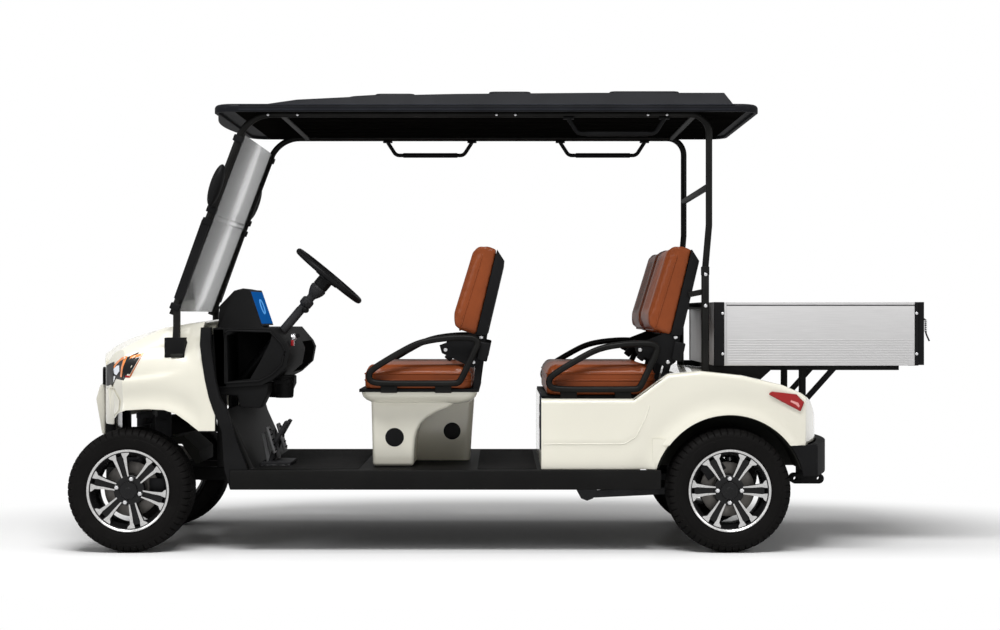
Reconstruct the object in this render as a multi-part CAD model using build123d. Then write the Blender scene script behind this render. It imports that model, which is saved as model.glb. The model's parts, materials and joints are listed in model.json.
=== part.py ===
"""Four-seat electric golf cart: one solid or more per named part, written as STEP files.

Millimetres.  +X points to the rear, +Y to the cart's right, +Z up; the ground is z = 0.
"""
import math
import os

from build123d import *

# ---------------------------------------------------------------- wheels and axles
HALF_W = 612.0
WHEELBASE = 2527.0
FRONT_AXLE_X = -1567.0
REAR_AXLE_X = FRONT_AXLE_X + WHEELBASE
TRACK = 990.0
TYRE_R = 262.0
TYRE_W = 210.0
TREAD_W = 164.0
TYRE_SHOULDER_R = 250.0
TYRE_BULGE_R = 214.0
BEAD_R = 163.0
BEAD_W = 184.0
RIM_LIP_R = 173.0
RIM_LIP_W = 9.0
RIM_WALL = 9.0
RIM_W = 200.0
SPOKE_PAIRS = 6
SPOKE_START = 30.0
SPOKE_GAP = 12.0
SPOKE_W = 17.0
SPOKE_DEPTH = 26.0
SPOKE_FACE = 84.0
FOOT_PROUD = 8.0
FOOT_L = 26.0
HUB_R = 66.0
CENTRE_CAP_R = 38.0
CENTRE_CAP_T = 12.0
HUB_SHAFT_R = 34.0
HUB_INNER = -20.0
DISC_R = 116.0
DISC_T = 8.0
DISC_Y = 9.0
CALIPER_EAR = 128.0
RUN_GAP = 0.3
MOVE_GAP = 5.0

# ---------------------------------------------------------------- steering
KINGPIN_Y = 350.0
KINGPIN_R = 21.0
KINGPIN_Z = (195.0, 335.0)
STUB_R = 22.0
ARM_X = 115.0
ARM_IN = 20.0
ARM_T = 12.0
ARM_Z = 205.0
RACK_R = 9.0
RACK_HOUSING_R = 17.0
RACK_HOUSING_L = 360.0
EYE_R = 15.0
STEER_WHEEL_R = 180.0
STEER_RIM_R = 13.0
STEER_TILT = 40.0
STEER_CENTRE = (-750.0, -300.0, 1170.0)
COLUMN_L = 590.0
COLUMN_R = 20.0
HUB_DROP = 62.0

# ---------------------------------------------------------------- frame, floor
RAIL_Y = 170.0
RAIL_W = 46.0
RAIL_H = 56.0
FRAME_TOP = 328.0
FRAME_FRONT_X = -1745.0
FRAME_REAR_X = 1380.0
KICK_X = 560.0
KICK_LEN = 120.0
KICK_UP = 100.0
MITRE = 10.0
BEAM_W = 44.0
BEAM_H = 38.0
POST_LEG_W = 40.0
HOOP_X = (-1255.0, -1215.0)
HOOP_TOP = 860.0
HOOP_END = 24.0
NOSE_POST_W = 36.0
NOSE_POST_TOP = 640.0
FLOOR_TOP = 350.0
FLOOR_T = 22.0
FLOOR_FRONT_X = -1137.0
FLOOR_REAR_X = 540.0
SILL_REAR_X = 670.0
FLOOR_HALF_W = HALF_W
OUTRIGGER_END = FLOOR_HALF_W - 52
SILL_T = 24.0
SILL_BOTTOM = 268.0

# ---------------------------------------------------------------- bodywork
COWL_HALF_W = HALF_W - 8
LAMP_IN_Y = COWL_HALF_W - 184
PANEL_IN_Y = 214.0
PANEL_OUT_Y = COWL_HALF_W - 44
CUT_REACH = HALF_W + 88
TRIM_OUT_Y = HALF_W - 6
TRIM_IN_Y = HALF_W - 52
DASH_HALF_W = TRIM_IN_Y - 4
TOE_HALF_W = TRIM_IN_Y - 2
GRILLE_HALF_W = 262.0
COWL_FOOT_Z = 690.0
GRILLE_TOP_Z = 766.0
LAMP_PROUD = 2.0
COWL_WALL = 8.0
COWL_ARCH_FLOOR = 514.0
COWL_ARCH = [(-1636.0, 560.0), (-1612.0, 585.0), (-1570.0, 601.0), (-1480.0, 606.0), (-1410.0, 602.0),
             (-1360.0, 585.0), (-1315.0, 553.0)]
COWL_ARCH_X = (-1636.0, -1268.0)
NOSE_X = -1784.0
AHEAD_X = NOSE_X - 116
NOSE_RAKE = 0.213
NOSE_TIP_Y = 60.0
CORNER_Y = 470.0
CORNER_X = -1585.0
NOSE_BACK_X = -1740.0
NOSE_HALF_W = 190.0
BODY_HALF_W = HALF_W - 26
REAR_DECK_Z = 647.0
SEAT_WELL_X = 735.0
BODY_WALL = 8.0
REAR_BOW_R = 1550.0
REAR_BOW_X = 1394.0
BUMPER_PROUD = 46.0
BUMPER_Z = (323.0, 455.0)
REAR_ARCH_R = 315.0
LINER_T = 5.0
LINER_GAP = 18.0
LINER_IN_Y = TRACK / 2 - TYRE_W / 2 - LINER_GAP

# ---------------------------------------------------------------- canopy
POST_Y = HALF_W - 82
TUBE_R = 14.0
RAIL_Z = 1850.0
PILLAR_X = -1374.0
PILLAR_FOOT_Z = 880.0
PILLAR_BEND_Z = 1045.0
PILLAR_TILT = 20.6
REAR_POST_X = 879.0
REAR_POST_SET = 16.0
CHANNEL_T = 18.0
CHANNEL_W = 34.0
PANE_HALF_W = POST_Y - TUBE_R - 15.0
SLEEVE_TOP = 1190.0
SLEEVE_KINK = 1380.0
SLEEVE_R = 16.5
POST_OVER_ARCH = 46.0
SLEEVE_FOOT = TYRE_R + 3 + REAR_ARCH_R + POST_OVER_ARCH
HOOP_H = 30.0
CROSS_TUBE_Z = 1545.0
ROOF_HALF_W = HALF_W
ROOF_X = (-1212.0, 1086.0)
ROOF_LIP_Z = 1852.0
ROOF_SHELF_Z = 1886.0
ROOF_TOP_Z = 1955.0
ROOF_RIB = 10.0
PLATEAU_X = (-985.0, 1008.0)
PLATEAU_HALF_W = 470.0

# ---------------------------------------------------------------- seats
SEAT_HALF_W = HALF_W - 97
SEAT_WELL_GAP = 9.0
SEAT_WELL_Y = SEAT_HALF_W + SEAT_WELL_GAP
SEAT_MID_GAP = 70.0
SEAT_PITCH = 826.0
PAN_TOP = 686.0
PAN_T = 13.0
REAR_PAN_TOP = 658.0
CUSHION_X = (-582.0, -125.0)
REAR_CUSHION_X = (192.0, 655.0)
CUSHION_TOP = 790.0
ARM_TUBE_R = 15.0
ARM_TUBE_Y = SEAT_HALF_W + 25

# ---------------------------------------------------------------- cargo box
BOX_X = (907.0, 1791.0)
BOX_Z = (785.0, 1055.0)
BOX_HALF_W = 500.0
BOX_WALL = 12.0
BOX_RAIL = 24.0
POST_W = 44.0
GATE_T = 14.0
GATE_HINGE_R = 8.0
GATE_HINGE_Z = BOX_Z[0] + GATE_HINGE_R
GATE_HINGES_Y = (-360.0, 0.0, 360.0)
GATE_BARREL_HALF = 30.0
BOX_BARREL = 22.0
BOX_END_X = BOX_X[1] - GATE_T - MOVE_GAP
GATE_HINGE_X = BOX_X[1] + GATE_HINGE_R + 1.0
TOW_PIN_R = 8.5
TOW_PLATE = 8.0
TOW_GAP = 40.0
TOW_HOLE_X = (1326.0, 1432.0)
TOW_Z = (240.0, 286.0)
LATCH_REACH = 38.0
LATCH_Z = (895.0, 985.0)
STRUT_X = 1319.0
STRUT_Y = 256.0
STRUT_W = 28.0


def at(shape, x=0.0, y=0.0, z=0.0):
    """The shape moved by (x, y, z)."""
    return Pos(x, y, z) * shape


def box(x, y, z):
    """A box from three (low, high) pairs."""
    size = [high - low for low, high in (x, y, z)]
    centre = [(high + low) / 2 for low, high in (x, y, z)]
    return Pos(*centre) * Box(*size)


def both_sides(shape):
    """The shape and its mirror image across the cart's middle plane."""
    return [shape, shape.mirror(Plane.XZ)]


def group(shapes):
    """Separate solids kept side by side in one compound."""
    solids = []
    for shape in shapes:
        solids.extend(shape.solids())
    return Compound(solids)


def fuse(shapes):
    """All shapes joined."""
    first, *rest = shapes
    return first.fuse(*rest) if rest else first


def side_plate(points, y_low, y_high):
    """A polygon in side view (x, z), as thick as y_low to y_high."""
    face = Plane.XZ * make_face(Polyline(*points, close=True))
    return at(extrude(face, y_high - y_low, dir=(0, 1, 0)), y=y_low)


def tube(points, radius, bend):
    """A round bar along straight runs joined by arcs; bend is one radius or a list."""
    path = FilletPolyline(*points, radius=bend) if len(points) > 2 else Line(*points)
    start = Plane(origin=path @ 0, z_dir=path % 0)
    return sweep(start * Circle(radius), path=path)


def rod(start, end, radius):
    """A straight round bar between two points."""
    axis = Vector(*end) - Vector(*start)
    return extrude(Plane(origin=start, z_dir=axis) * Circle(radius), axis.length)


def flat_bar(start, end, width, thick):
    """A straight rectangular bar; width lies in the side view, thick across the cart."""
    axis = Vector(*end) - Vector(*start)
    plane = Plane(origin=start, x_dir=(0, 1, 0), z_dir=axis)
    return extrude(plane * Rectangle(thick, width), axis.length)


def disc_y(radius, y_low, y_high, x=0.0, z=0.0):
    """A disc whose axis runs across the cart."""
    low, high = sorted((y_low, y_high))
    return rod((x, low, z), (x, high, z), radius)


# ================================================================ wheels
def tyre_ring():
    """One tyre about the Y axis at the origin: bead, side wall, shoulder, tread."""
    side = [(BEAD_R, BEAD_W / 2), (TYRE_BULGE_R, TYRE_W / 2),
            (TYRE_SHOULDER_R, TYRE_W / 2 - 9), (TYRE_R, TREAD_W / 2)]
    outline = side + [(r, -y) for r, y in reversed(side)]
    return revolve(make_face(Polyline(*outline, close=True)), Axis.Y)


def rim_profile():
    """Half section of the rim: two lips and a barrel with a drop centre."""
    half = RIM_W / 2
    inner = BEAD_R - RIM_WALL
    well = inner - 8
    return [
        (BEAD_R, -BEAD_W / 2), (RIM_LIP_R, -half + 2), (RIM_LIP_R, -half - 2),
        (inner + 4, -half - 2), (inner, -half + 24), (inner, half - 24),
        (inner + 4, half + 2), (RIM_LIP_R, half + 2), (RIM_LIP_R, half - 2),
        (BEAD_R, BEAD_W / 2), (BEAD_R, 60), (well + RIM_WALL, 30),
        (well + RIM_WALL, -30), (BEAD_R, -60),
    ]


def rim_with_hub():
    """Rim, split spokes, hub, centre cap and brake disc about Y; -Y is the outer side."""
    barrel = revolve(make_face(Polyline(*rim_profile(), close=True)), Axis.Y)
    face = -SPOKE_FACE
    spokes = []
    reach = BEAD_R - RIM_WALL + 3
    for index in range(SPOKE_PAIRS):
        for side in (-1, 1):
            offset = side * (SPOKE_GAP + SPOKE_W) / 2
            leg = box((offset - SPOKE_W / 2, offset + SPOKE_W / 2),
                      (face, face + SPOKE_DEPTH), (HUB_R * 0.6, reach))
            foot = box((offset - SPOKE_W / 2, offset + SPOKE_W / 2),
                       (face - FOOT_PROUD, face + SPOKE_DEPTH), (reach - FOOT_L, reach))
            turn = Rot(0, SPOKE_START + index * 360 / SPOKE_PAIRS, 0)
            spokes += [turn * leg, turn * foot]
    hub = disc_y(HUB_R, face + 2, face + SPOKE_DEPTH + 8)
    cap = disc_y(CENTRE_CAP_R, face - CENTRE_CAP_T, face + 4)
    shaft = disc_y(HUB_SHAFT_R, face + SPOKE_DEPTH, -HUB_INNER)
    disc = disc_y(DISC_R, -DISC_Y - DISC_T / 2, -DISC_Y + DISC_T / 2)
    return fuse([barrel] + spokes + [hub, cap, shaft, disc])


def caliper(angle, ear_end):
    """Brake caliper over the disc's edge about Y; -Y is the outer side, and an ear runs in to ear_end."""
    low, high = -DISC_Y - DISC_T / 2, -DISC_Y + DISC_T / 2
    body = box((-46, 46), (low - 18, high + 26), (78, 140))
    slot = box((-60, 60), (low - MOVE_GAP, high + MOVE_GAP), (0, DISC_R + MOVE_GAP))
    ear = box((-24, 24), (high + MOVE_GAP + 2, ear_end), (84, 110))
    return Rot(0, angle, 0) * fuse([body - slot, ear])


WHEELS = {  # axle, side, how far the spokes are turned
    "front_left": (FRONT_AXLE_X, -1, 15.0),
    "front_right": (FRONT_AXLE_X, 1, 15.0),
    "rear_left": (REAR_AXLE_X, -1, 0.0),
    "rear_right": (REAR_AXLE_X, 1, 0.0),
}


def place_wheel(shape, axle_x, side):
    """A part made for the left side (-Y outer) placed at one wheel."""
    turned = shape if side < 0 else shape.mirror(Plane.XZ)
    return at(turned, axle_x, side * TRACK / 2, TYRE_R)


def knuckle(side):
    """Steering knuckle: kingpin post, stub axle, steering arm and caliper."""
    low, high = KINGPIN_Z
    to_kingpin = TRACK / 2 - KINGPIN_Y
    z0 = -TYRE_R
    post = rod((0, to_kingpin, z0 + low + RUN_GAP), (0, to_kingpin, z0 + high - RUN_GAP), KINGPIN_R)
    stub = disc_y(STUB_R, -HUB_INNER + RUN_GAP, to_kingpin)
    web = box((-14, 14), (to_kingpin - 24, to_kingpin), (-52, 60))
    arm_z = z0 + ARM_Z
    arm_y = to_kingpin + ARM_IN
    arm = box((0, ARM_X), (to_kingpin - 12, arm_y + 4), (arm_z, arm_z + ARM_T))
    eye = rod((ARM_X, arm_y, arm_z), (ARM_X, arm_y, arm_z + ARM_T), EYE_R)
    lug = box((-20, 110), (to_kingpin - 32, to_kingpin - 14), (-13, 13))
    return place_wheel(fuse([post, stub, web, arm, eye, lug, caliper(90, to_kingpin - 17)]), FRONT_AXLE_X, side)


def tie_rods():
    """Rack bar with a tie rod eye at each end, under the steering arms."""
    z = ARM_Z - MOVE_GAP - RACK_R
    x = FRONT_AXLE_X + ARM_X
    reach = KINGPIN_Y - ARM_IN
    bar = disc_y(RACK_R, -reach, reach, x, z)
    eyes = [rod((x, side * reach, z - RACK_R + 1), (x, side * reach, z + RACK_R - 1), EYE_R)
            for side in (-1, 1)]
    return fuse([bar] + eyes)


# ================================================================ running gear
def front_suspension():
    """Wishbones, coil-over dampers, towers and the rack housing."""
    x = FRONT_AXLE_X
    low, high = KINGPIN_Z
    rail_face = RAIL_Y + RAIL_W / 2
    sides = []
    for side in (-1, 1):
        tip = side * KINGPIN_Y
        root = side * (rail_face + 8)
        bracket = box((x - 88, x + 88), sorted((side * rail_face, side * (rail_face + 20))), (170, 372))
        parts = [bracket]
        for z, boss in ((low - 13, (low - 26, low)), (high + 13, (high, high + 26))):
            parts.append(rod((x, tip, boss[0]), (x, tip, boss[1]), 24))
            for leg in (-74, 74):
                parts.append(rod((x + leg, root, z), (x, tip, z), 11))
        foot = (x, side * 268, low - 10)
        top = (x, side * (rail_face + 22), 560)
        parts.append(rod(foot, top, 11))
        lower_third = [f + (t - f) * 0.22 for f, t in zip(foot, top)]
        upper_end = [f + (t - f) * 0.95 for f, t in zip(foot, top)]
        parts.append(rod(lower_third, upper_end, 25))
        parts.append(box((x - 34, x + 34), sorted((side * 110, side * (rail_face + 50))), (548, 572)))
        parts.append(box((x - 40, x + 40), sorted((side * rail_face, side * (rail_face + 7))), (370, 560)))
        sides.append(fuse(parts))
    rack_x = x + ARM_X
    rack_z = ARM_Z - MOVE_GAP - RACK_R
    half = RACK_HOUSING_L / 2
    housing = disc_y(RACK_HOUSING_R, -half, half, rack_x, rack_z)
    hanger_z = (rack_z, FRAME_TOP - RAIL_H)
    hangers = [box((rack_x - 10, rack_x + 10), (side * RAIL_Y - 10, side * RAIL_Y + 10), hanger_z)
               for side in (-1, 1)]
    bore = disc_y(RACK_R + RUN_GAP, -half - 5, half + 5, rack_x, rack_z)
    return group(sides + [fuse([housing] + hangers) - bore])


def rear_axle():
    """Live axle with its drive motor, backing plates, brake calipers and trailing arms."""
    x, z = REAR_AXLE_X, TYRE_R
    end = TRACK / 2 + HUB_INNER - RUN_GAP
    ear_end = TRACK / 2 - CALIPER_EAR
    shaft = disc_y(30, -end, end, x, z)
    casing = disc_y(88, -75, 75, x, z)
    motor = disc_y(92, 60, 262, x, z)
    parts = [shaft, casing, motor]
    for side in (-1, 1):
        parts.append(disc_y(112, side * (ear_end - 7), side * (ear_end + 3), x, z))
        parts.append(place_wheel(caliper(-35, CALIPER_EAR), x, side))
        parts.append(flat_bar((372, side * 330, 222), (x, side * 330, 250), 30, 26))
        parts.append(disc_y(20, side * 316, side * 344, 372, 222))
        parts.append(box((x, x + 88), (side * 300 - 20, side * 300 + 20), (250, 276)))
    return fuse(parts)


def rear_suspension():
    """Coil-over dampers, their cross member and the trailing arm hangers."""
    x = REAR_AXLE_X
    parts = []
    top_z = 640
    for side in (-1, 1):
        y = side * 300
        foot = (x + 97, y, 285)
        top = (x + 110, y, top_z)
        parts.append(fuse([
            rod(foot, top, 11),
            rod((x + 99, y, 340), (x + 108, y, 600), 27),
            box((x + 88, x + 122), (y - 24, y + 24), (236, 290)),
            box((x + 96, x + 124), sorted((side * (RAIL_Y - 20), side * 330)), (top_z - 12, top_z + 14)),
            box((x + 96, x + 124), (side * RAIL_Y - 20, side * RAIL_Y + 20),
                (FRAME_TOP + KICK_UP, top_z)),
        ]))
        for plate in (-1, 1):
            face = y + side * 30 + plate * 20
            parts.append(side_plate(
                [(322, SILL_BOTTOM + 60), (322, 250), (346, 206), (372, 196), (398, 206), (418, 250),
                 (418, SILL_BOTTOM + 60)], face - 3, face + 3))
    return group(parts)


# ================================================================ frame and floor
def rail_pieces():
    """Side views of one frame rail's straight runs: low front, rise, high rear."""
    low = FRAME_TOP - RAIL_H
    rise = KICK_X + KICK_LEN
    high = FRAME_TOP + KICK_UP
    return [
        [(FRAME_FRONT_X, low), (KICK_X, low), (KICK_X - MITRE, FRAME_TOP), (FRAME_FRONT_X, FRAME_TOP)],
        [(KICK_X, low), (rise, low + KICK_UP), (rise - MITRE, high), (KICK_X - MITRE, FRAME_TOP)],
        [(rise, low + KICK_UP), (FRAME_REAR_X, low + KICK_UP), (FRAME_REAR_X, high), (rise - MITRE, high)],
    ]


def ladder_frame():
    """Two rails, cross members, cowl hoop, rear post hoop and nose posts, welded face to face."""
    low = FRAME_TOP - RAIL_H
    between = RAIL_Y - RAIL_W / 2
    outside = RAIL_Y + RAIL_W / 2
    post_x = REAR_POST_X - REAR_POST_SET
    half = BEAM_W / 2
    parts = [box((post_x - half, post_x + half), (-POST_Y - HOOP_END, POST_Y + HOOP_END),
                 (SLEEVE_FOOT - HOOP_H, SLEEVE_FOOT))]
    uprights = [  # x at each face, foot, top
        (*HOOP_X, FRAME_TOP, HOOP_TOP),
        (FRAME_FRONT_X, FRAME_FRONT_X + NOSE_POST_W, FRAME_TOP, NOSE_POST_TOP),
        (post_x - POST_LEG_W / 2, post_x + POST_LEG_W / 2, FRAME_TOP + KICK_UP, SLEEVE_FOOT - HOOP_H),
    ]
    for side in (-1, 1):
        y = side * RAIL_Y
        parts += [side_plate(run, *sorted((side * between, side * outside))) for run in rail_pieces()]
        parts += [box((x0, x1), (y - POST_LEG_W / 2, y + POST_LEG_W / 2), (foot, top))
                  for x0, x1, foot, top in uprights]
    members = [  # x, z of the underside, whether it also reaches out past the rails
        (FRAME_FRONT_X + 30, low, 0.0), (-1236, low, 0.0), (-1080, low + 16, OUTRIGGER_END),
        (-420, low + 16, OUTRIGGER_END), (250, low + 16, OUTRIGGER_END), (KICK_X - 45, low, 0.0),
        (760, low + KICK_UP, 0.0), (STRUT_X, low + KICK_UP + 18, STRUT_Y + STRUT_W / 2 + 4),
    ]
    for x, z, reach in members:
        run = (x - half, x + half)
        parts.append(box(run, (-between, between), (z, z + BEAM_H)))
        if reach:
            parts += [box(run, sorted((side * outside, side * reach)), (z, z + BEAM_H)) for side in (-1, 1)]
    leg = RAIL_Y - POST_LEG_W / 2
    parts.append(box(HOOP_X, (-leg, leg), (HOOP_TOP - POST_LEG_W, HOOP_TOP)))
    parts.append(box((FRAME_FRONT_X, FRAME_FRONT_X + NOSE_POST_W), (-leg, leg),
                     (NOSE_POST_TOP - POST_LEG_W, NOSE_POST_TOP)))
    return group(parts)


def floor_deck():
    """Floor plate, two sill skirts and the slanted toe board."""
    plate = box((FLOOR_FRONT_X, FLOOR_REAR_X), (-FLOOR_HALF_W, FLOOR_HALF_W), (FLOOR_TOP - FLOOR_T, FLOOR_TOP))
    sills = [box((FLOOR_FRONT_X, SILL_REAR_X),
                 sorted((side * (FLOOR_HALF_W - SILL_T), side * FLOOR_HALF_W)), (SILL_BOTTOM, FLOOR_TOP))
             for side in (-1, 1)]
    toe = side_plate([(-1062, FLOOR_TOP - 2), (-1172, 600), (-1154, 606), (-1038, FLOOR_TOP - 2)],
                     -TOE_HALF_W, TOE_HALF_W)
    return fuse([plate] + sills + [toe])


# ================================================================ front bodywork
def cowl_section(x, half_w, z_low, z_shoulder, z_top):
    """Closed front-view outline of the cowl at one station: sides, shoulders, crown."""
    inset = half_w * 0.2
    z_mid = (z_shoulder + z_top) / 2 + (z_top - z_shoulder) * 0.24
    right_arc = ThreePointArc((half_w, z_shoulder), (half_w - inset * 0.32, z_mid),
                              (half_w - inset, z_top - 12))
    crown = ThreePointArc((half_w - inset, z_top - 12), (0, z_top), (inset - half_w, z_top - 12))
    left_arc = ThreePointArc((inset - half_w, z_top - 12), (inset * 0.32 - half_w, z_mid),
                             (-half_w, z_shoulder))
    low = [Line((-half_w, z_shoulder), (-half_w, z_low)), Line((-half_w, z_low), (half_w, z_low)),
           Line((half_w, z_low), (half_w, z_shoulder))]
    return Plane(origin=(x, 0, 0), x_dir=(0, 1, 0), z_dir=(1, 0, 0)) * make_face([right_arc, crown, left_arc] + low)


COWL_STATIONS = [  # x, half width, lowest z, shoulder z, crown z
    (-1830.0, COWL_HALF_W - 4, 470.0, 600.0, 700.0),
    (-1765.0, COWL_HALF_W - 1, 470.0, 690.0, 812.0),
    (-1660.0, COWL_HALF_W, 470.0, 790.0, 888.0),
    (-1440.0, COWL_HALF_W, 470.0, 860.0, 953.0),
    (-1200.0, COWL_HALF_W, 470.0, 885.0, 984.0),
]


def cowl_block(inset):
    """The cowl's outer volume shrunk by inset."""
    faces = [cowl_section(x, w - inset, low - 20, sh - inset, top - inset)
             for x, w, low, sh, top in COWL_STATIONS]
    return loft(faces)


def nose_limit(inset):
    """Everything behind the prow, as a tall plan shape with chamfered corners."""
    tip = NOSE_X + inset
    side = tip + NOSE_TIP_Y * NOSE_RAKE / 2
    corner = tip + CORNER_Y * NOSE_RAKE
    points = [(side, NOSE_TIP_Y), (corner, CORNER_Y), (CORNER_X + inset, COWL_HALF_W), (-1000, COWL_HALF_W)]
    points += [(x, -y) for x, y in reversed(points)]
    runs = [Line(a, b) for a, b in zip(points, points[1:])]
    prow = ThreePointArc(points[-1], (tip, 0), points[0])
    return extrude(make_face(runs + [prow]), 1200)


def chevron(points, half_w, rake):
    """A side-view outline swept out to half_w on both sides while it falls back by rake."""
    face = make_face(Plane.XZ * Polyline(*points, close=True))
    length = math.hypot(half_w, half_w * rake)
    return fuse([extrude(face, length, dir=(rake, side, 0)) for side in (-1, 1)])


def front_cowl():
    """Hollow cowl over the front wheels, open below and behind, cut for lamps and boots."""
    outer = cowl_block(0) & nose_limit(0)
    inner = cowl_block(COWL_WALL) & nose_limit(COWL_WALL)
    shell = outer - inner
    rear_cut = side_plate([(-1208, 602), (-1225, 652), (-1242, 727), (-1254, 803), (-1263, 874), (-1259, 1000),
                           (-900, 1000), (-900, 400), (-1173, 400), (-1173, COWL_ARCH_FLOOR)],
                          -CUT_REACH, CUT_REACH)
    low, high = COWL_ARCH_X
    arch_cut = side_plate([(AHEAD_X, 400), (AHEAD_X, COWL_FOOT_Z), (low, COWL_FOOT_Z)] + COWL_ARCH +
                          [(high, COWL_ARCH_FLOOR), (-1100, COWL_ARCH_FLOOR), (-1100, 400)],
                          -CUT_REACH, CUT_REACH)
    reach = GRILLE_HALF_W + 2
    grille_cut = box((AHEAD_X, -1700), (-reach, reach), (400, GRILLE_TOP_Z + 9))
    shell = shell - rear_cut - arch_cut - grille_cut
    for side in (-1, 1):
        shell -= lamp_prism(side)
        shell -= boot_block(side)
        shell -= rod((PILLAR_X, side * POST_Y, 800), (PILLAR_X, side * POST_Y, 1000), TUBE_R + RUN_GAP)
    return shell


def lamp_prism(side):
    """The headlamp's outline in side view, run through the cowl's corner."""
    outline = [(-1672, 774), (-1526, 844), (-1580, 726), (-1625, 731), (-1650, 692)]
    return side_plate(outline, *sorted((side * LAMP_IN_Y, side * CUT_REACH)))


def boot_block(side):
    """The pad under one front pillar."""
    x = PILLAR_X
    return box((x - 42, x + 42), sorted((side * (POST_Y - 26), side * (POST_Y + 50))), (821, 905))


def nose_panel():
    """Bumper centre that stands proud, and a bowed panel on each flank."""
    outline = [(-1829, 629), (-1812, 688), (-1798, 694), (-1700, 694), (-1700, 475), (-1803, 475)]
    centre = chevron(outline, NOSE_HALF_W, NOSE_RAKE) & box((AHEAD_X, NOSE_BACK_X - 8), (-300, 300), (400, 700))
    band = nose_limit(0) - nose_limit(14)
    flanks = [band & box((AHEAD_X, COWL_ARCH_X[0]), sorted((side * PANEL_IN_Y, side * PANEL_OUT_Y)), (536, COWL_FOOT_Z))
              for side in (-1, 1)]
    return group([centre] + flanks)


def grille():
    """Black bar between the lamps, standing on the posts behind the nose."""
    outline = [(-1800, 694), (-1700, 694), (-1700, GRILLE_TOP_Z), (-1800, GRILLE_TOP_Z)]
    bar = chevron(outline, GRILLE_HALF_W, NOSE_RAKE) & box((AHEAD_X, NOSE_BACK_X + 4), (-300, 300), (600, 800))
    web = box((NOSE_BACK_X - 8, FRAME_FRONT_X + 30), (-200, 200), (694, 720))
    legs = [box((FRAME_FRONT_X, FRAME_FRONT_X + 30), (side * RAIL_Y - 18, side * RAIL_Y + 18), (640, 694))
            for side in (-1, 1)]
    return fuse([bar, web] + legs)


def headlamps():
    """A swept lamp body in each front corner, just proud of the cowl."""
    skin = cowl_block(-LAMP_PROUD) & nose_limit(-LAMP_PROUD)
    return group([lamp_prism(side) & skin for side in (-1, 1)])


def cowl_trim():
    """Black band behind the cowl, kick panels and the pillar boots."""
    band = [(-1208, 602), (-1225, 652), (-1242, 727), (-1254, 803), (-1263, 874), (-1259, 948),
            (-1218, 948), (-1218, 874), (-1208, 803), (-1198, 727), (-1180, 652), (-1150, 600),
            (-1120, 500), (-1062, FLOOR_TOP), (FLOOR_FRONT_X, FLOOR_TOP), (FLOOR_FRONT_X, 270),
            (-1160, 352), (-1172, 514)]
    parts = both_sides(side_plate(band, -TRIM_OUT_Y, -TRIM_IN_Y))
    for side in (-1, 1):
        pillar = rod((PILLAR_X, side * POST_Y, PILLAR_FOOT_Z), (PILLAR_X, side * POST_Y, 950), TUBE_R)
        parts.append(boot_block(side) - pillar)
    return group(parts)


def dashboard():
    """Dash across the cart with a cubby, a shelf, a cup holder and a display pod."""
    outline = [(-1215, 945), (-960, 945), (-905, 880), (-892, 850), (-905, 780), (-960, 730), (-1010, 704),
               (-1215, 690)]
    body = side_plate(outline, -DASH_HALF_W, DASH_HALF_W)
    cubby = box((-1100, -850), (60, 470), (740, 880))
    pod = side_plate([(-1220, 940), (-1212, 1040), (-1150, 1105), (-1112, 1115), (-1086, 1110), (-1030, 942)],
                     -390, -120)
    hole = extrude(steer_frame() * Circle(COLUMN_R + RUN_GAP), -COLUMN_L - 60)
    return fuse([body - cubby, pod]) - hole


def windshield():
    """Two glass panes between the pillars."""
    slope = math.tan(math.radians(PILLAR_TILT))
    panes = []
    for z_low, z_high in ((1015.0, 1412.0), (1424.0, 1772.0)):
        x_low = pillar_x(z_low)
        x_high = pillar_x(z_high)
        skew = 3 * slope
        panes.append(side_plate([(x_low - 3, z_low + skew), (x_low + 3, z_low), (x_high + 3, z_high),
                                 (x_high - 3, z_high + skew)], -PANE_HALF_W, PANE_HALF_W))
    return group(panes)


def pillar_x(z):
    """X of the front pillar's axis at a height above its bend."""
    return PILLAR_X + (z - PILLAR_BEND_Z) * math.tan(math.radians(PILLAR_TILT))


# ================================================================ canopy
def canopy_frame():
    """Pillar, roof rail and rear post in one bent tube a side, joined across."""
    parts = []
    rail_front = pillar_x(RAIL_Z)
    for side in (-1, 1):
        y = side * POST_Y
        path = [(PILLAR_X, y, PILLAR_FOOT_Z), (PILLAR_X, y, PILLAR_BEND_Z), (rail_front, y, RAIL_Z),
                (REAR_POST_X, y, RAIL_Z), (REAR_POST_X, y, SLEEVE_KINK),
                (REAR_POST_X - REAR_POST_SET, y, SLEEVE_TOP + 5)]
        parts.append(tube(path, TUBE_R, [60, 150, 80, 60]))
        z_low, z_high = 1000.0, 1775.0
        channel_y = side * (PANE_HALF_W + CHANNEL_T / 2)
        parts.append(flat_bar((pillar_x(z_low), channel_y, z_low), (pillar_x(z_high), channel_y, z_high),
                              CHANNEL_W, CHANNEL_T))
    for x in (-930.0, 820.0):
        parts.append(disc_y(TUBE_R - 2, -POST_Y, POST_Y, x, RAIL_Z))
    return fuse(parts)


def rear_posts():
    """Lower sleeves of the rear posts and the tube between the posts."""
    x = REAR_POST_X - REAR_POST_SET
    parts = []
    for side in (-1, 1):
        y = side * POST_Y
        sleeve = rod((x, y, SLEEVE_FOOT), (x, y, SLEEVE_TOP), SLEEVE_R)
        parts.append(sleeve)
        parts.append(flat_bar((x, side * (POST_Y - 8), 1100), (x - 70, side * (POST_Y - 8), 1086), 24, 8))
    parts.append(disc_y(15, -POST_Y + 10, POST_Y - 10, x, 1040))
    return fuse(parts)


def rear_cross_tube():
    """The high tube between the rear posts."""
    return disc_y(TUBE_R, -POST_Y + TUBE_R - 1, POST_Y - TUBE_R + 1, REAR_POST_X, CROSS_TUBE_Z)


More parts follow.
